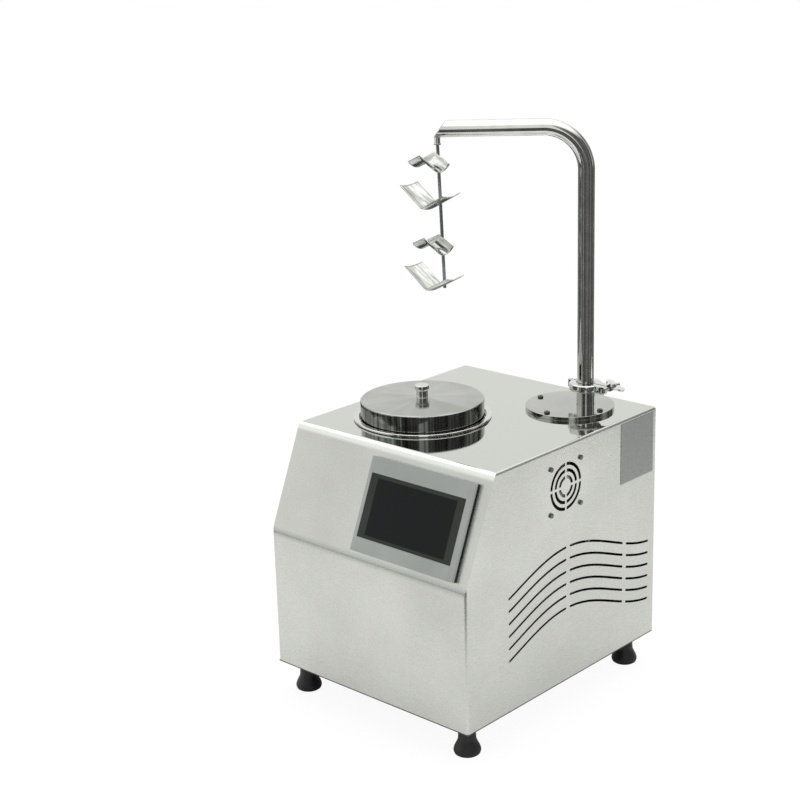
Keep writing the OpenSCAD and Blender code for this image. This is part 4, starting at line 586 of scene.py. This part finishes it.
# Arm: one polished tube, bent at the top and closed at its mitred tip.
# The tube is a circle carried up the post, round the bend and along the level run.
HEADING = math.radians(219.2)
AHEAD = np.array([math.cos(HEADING), math.sin(HEADING), 0.0])
ASIDE = np.array([-math.sin(HEADING), math.cos(HEADING), 0.0])
ABOVE = np.array([0.0, 0.0, 1.0])
tube_r, bend_r, arm_z, arm_low, tip = 12.7, 65.0, 871.3, 468.0, 228.8
mitre = math.tan(math.radians(37))
climb = np.linspace(arm_low, arm_z - bend_r, 30)[:, None]
post_foot = np.array([*POST, 0.0])
bend = np.linspace(0, math.pi / 2, 40)[1:-1, None]
level = np.linspace(bend_r, tip - 2 * tube_r * mitre - 2, 20)[:, None]
course = np.concatenate([
    climb * ABOVE,
    bend_r * (1 - np.cos(bend)) * AHEAD + (arm_z - bend_r + bend_r * np.sin(bend)) * ABOVE,
    level * AHEAD + arm_z * ABOVE]) + post_foot
tilt = np.concatenate([0 * climb, bend, 0 * level + math.pi / 2])
outward = -np.cos(tilt) * AHEAD + np.sin(tilt) * ABOVE
phi = np.linspace(0, 2 * math.pi, 96, endpoint=False)[:, None]
wall = course[:, None] + tube_r * (np.cos(phi) * outward[:, None] + np.sin(phi) * ASIDE)
rim = post_foot + arm_z * ABOVE + (tip - tube_r * (1 + np.cos(phi)) * mitre) * AHEAD \
    + tube_r * (np.cos(phi) * ABOVE + np.sin(phi) * ASIDE)
cap = np.broadcast_to(rim.mean(axis=0), rim.shape)
foot_cap = np.broadcast_to(course[0], rim.shape)
tube = np.concatenate([foot_cap[None], wall, rim[None], cap[None]])
arm = skin("arm_tube_bent", tube * MM, polished, around=True, angle=30)
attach(arm, "pouring_arm")
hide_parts("arm_tube")

ferrule_profile = rounded(
    (12.6, 468, 0), (22.4, 468, 0.3), (22.4, 470.8, 0.3), (12.6, 471.2, 0.1), (12.6, 468, 0))
ferrule = turned("arm_ferrule", ferrule_profile, POST, polished, 96)
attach(ferrule, "pouring_arm")


# Nozzle: a short turned spout with a collar, welded under the arm's tip.
# The pin that the cascade hangs from goes across it.
NOZZLE = tuple((post_foot + 223.2 * AHEAD)[:2])
nozzle_profile = rounded(
    (3.5, 847.6, 0), (5.5, 847.6, 0.4), (5.5, 849.6, 0.4), (4.4, 849.6, 0.3), (4.4, 861.8, 0.2),
    (3.5, 861.8, 0.1), (3.5, 847.6, 0))
nozzle = turned("nozzle_turned", nozzle_profile, NOZZLE, polished, 64)
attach(nozzle, "pouring_arm")
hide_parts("nozzle")
paint(polished, "hanger_pin")


# Cascade: a rod with two small leaves and two larger troughs, pressed from thin sheet,
# each of two curved sides that meet at a crease, their back edges welded to the rod.
def side(r, half, length, slope, along):
    """One side of a leaf or trough on a grid, hollow side up: an arc of radius r across, straight
    along its slope. An arc angle f lifts the sheet by r * (1 - cos f) off its lowest line; the side
    starts where it meets the upright plane of the crease and runs to its full length."""
    f = np.radians(np.linspace(-half, half, 33))[None, :]
    lift = r * (1 - np.cos(f))
    a = math.radians(slope)
    start = lift * math.tan(a)
    run = start + np.linspace(0, 1, 17)[:, None] * (length - start)
    return np.stack([along * (run * math.cos(a) - lift * math.sin(a)),
                     r * np.sin(f) + 0 * run, run * math.sin(a) + lift * math.cos(a)], -1)


def turn(angle, axis):
    """Rotation matrix by an angle in degrees about axis 0, 1 or 2."""
    c, d = math.cos(math.radians(angle)), math.sin(math.radians(angle))
    made, (i, j) = np.eye(3), ((1, 2), (2, 0), (0, 1))[axis]
    made[i, i], made[i, j], made[j, i], made[j, j] = c, -d, d, c
    return made


# Pressed sheet: polished, with painted reflection streaks, grey and bright, 4 mm apart along each
# side.
PIN_HEIGHT, ROD_LEAN, ROD_TURN, ROD_FRONT = 854.6, 2.2, -8.5, 2.55
pressed_sheet, tree, shader = finish("pressed_stainless_painted_streaks", metallic=1.0, roughness=0.16)
place = add(tree, "TexCoord").outputs["Object"]
streak_space = add(tree, "Mapping", {"Rotation": (0, 0, math.radians(-ROD_TURN)), "Scale": (25, 260, 60)},
            {0: place})
# Painted reflection: grey and bright streaks running along the curved sides.
painted_streak_pattern = add(tree, "TexNoise", {"Scale": 1.0, "Detail": 3.0, "Roughness": 0.6}, {0: streak_space})
tone = add(tree, "ValToRGB", links={0: painted_streak_pattern},
           stops=((0.32, "8a8c88"), (0.55, "c4c6c2"), (0.72, "dcdedb")))
link(shader, {"Base Color": tone})


def pressed(name, right, left, tilt, off, height):
    """Joins the two sides at their crease, tilts them to the right, sets the crease off to the left
    of the rod and the back edge against its front, leans the rod about its pin, and turns the whole
    about the nozzle's axis."""
    grid = np.concatenate([right[::-1], left[1:]]) @ turn(tilt, 1).T
    grid = grid + [-off, -grid[..., 1].max() - ROD_FRONT, height - PIN_HEIGHT]
    grid = grid @ (turn(ROD_TURN, 2) @ turn(ROD_LEAN, 0)).T + [*NOZZLE, PIN_HEIGHT]
    made = skin(name + "_pressed", grid * MM, pressed_sheet, angle=25)
    sheet = made.modifiers.new("sheet", "SOLIDIFY")
    sheet.thickness = 1.2 * MM
    sheet.offset = -1.0
    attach(made, "cascade")
    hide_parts(name)


set_pitch, leaf_drop, trough_drop = 126.6, 47.4, 118.4
leaf_r, leaf_half, leaf_slope, leaf_long, leaf_short, leaf_off = 15.1, 76, -23.4, 31.3, 24.8, 4.9
trough_r, trough_half, trough_slope, trough_length, trough_off = 46, 22, 29, 58, 1.8
trough_tilt = 3
for k, level_name in enumerate(("upper", "lower")):
    start_z = arm_z - set_pitch * k
    pressed(level_name + "_leaf", side(leaf_r, leaf_half, leaf_long, leaf_slope, 1),
            side(leaf_r, leaf_half, leaf_short, leaf_slope, -1), 0, leaf_off, start_z - leaf_drop)
    pressed(level_name + "_trough", side(trough_r, trough_half, trough_length, trough_slope, 1),
            side(trough_r, trough_half, trough_length, trough_slope, -1),
            trough_tilt, trough_off, start_z - trough_drop)


# Inside the cabinet: heating mat, insulation, probe, gear pump, gearbox, motor, pipes
# and electrics, each with the finish of its real material.
paint(mottled("orange_silicone_rubber", "a84a26", "bd5c33", 5, roughness=0.6), "heating_mat")
paint(mottled("mineral_wool", "c9c4b4", "e2ded2", 11.1, roughness=0.95), "pot_insulation")
paint(mottled("white_silicone", "dcd9d0", "ebe9e3", 6.67, roughness=0.55), "ferrule_seal")
paint(mottled("machined_stainless", "9fa3a4", "b3b7b8", 2, metallic=1.0, roughness=0.3),
      "pump_body", "pump_cover", "drive_gear", "drive_shaft", "idler_gear", "idler_shaft",
      "cascade_rod")
paint(mottled("cast_aluminium", "85898b", "999d9f", 3.33, metallic=1.0, roughness=0.5), "gearbox")
paint(mottled("dark_motor_paint", "33363a", "404448", 2.5, roughness=0.45), "motor")
paint(mottled("folded_aluminium_case", "a3a8aa", "b6babc", 4, metallic=1.0, roughness=0.42),
      "power_supply")
paint(mottled("green_circuit_board", "275c3a", "35754c", 2.86, roughness=0.4), "control_board")
paint(polished, "delivery_pipe", "temperature_probe")
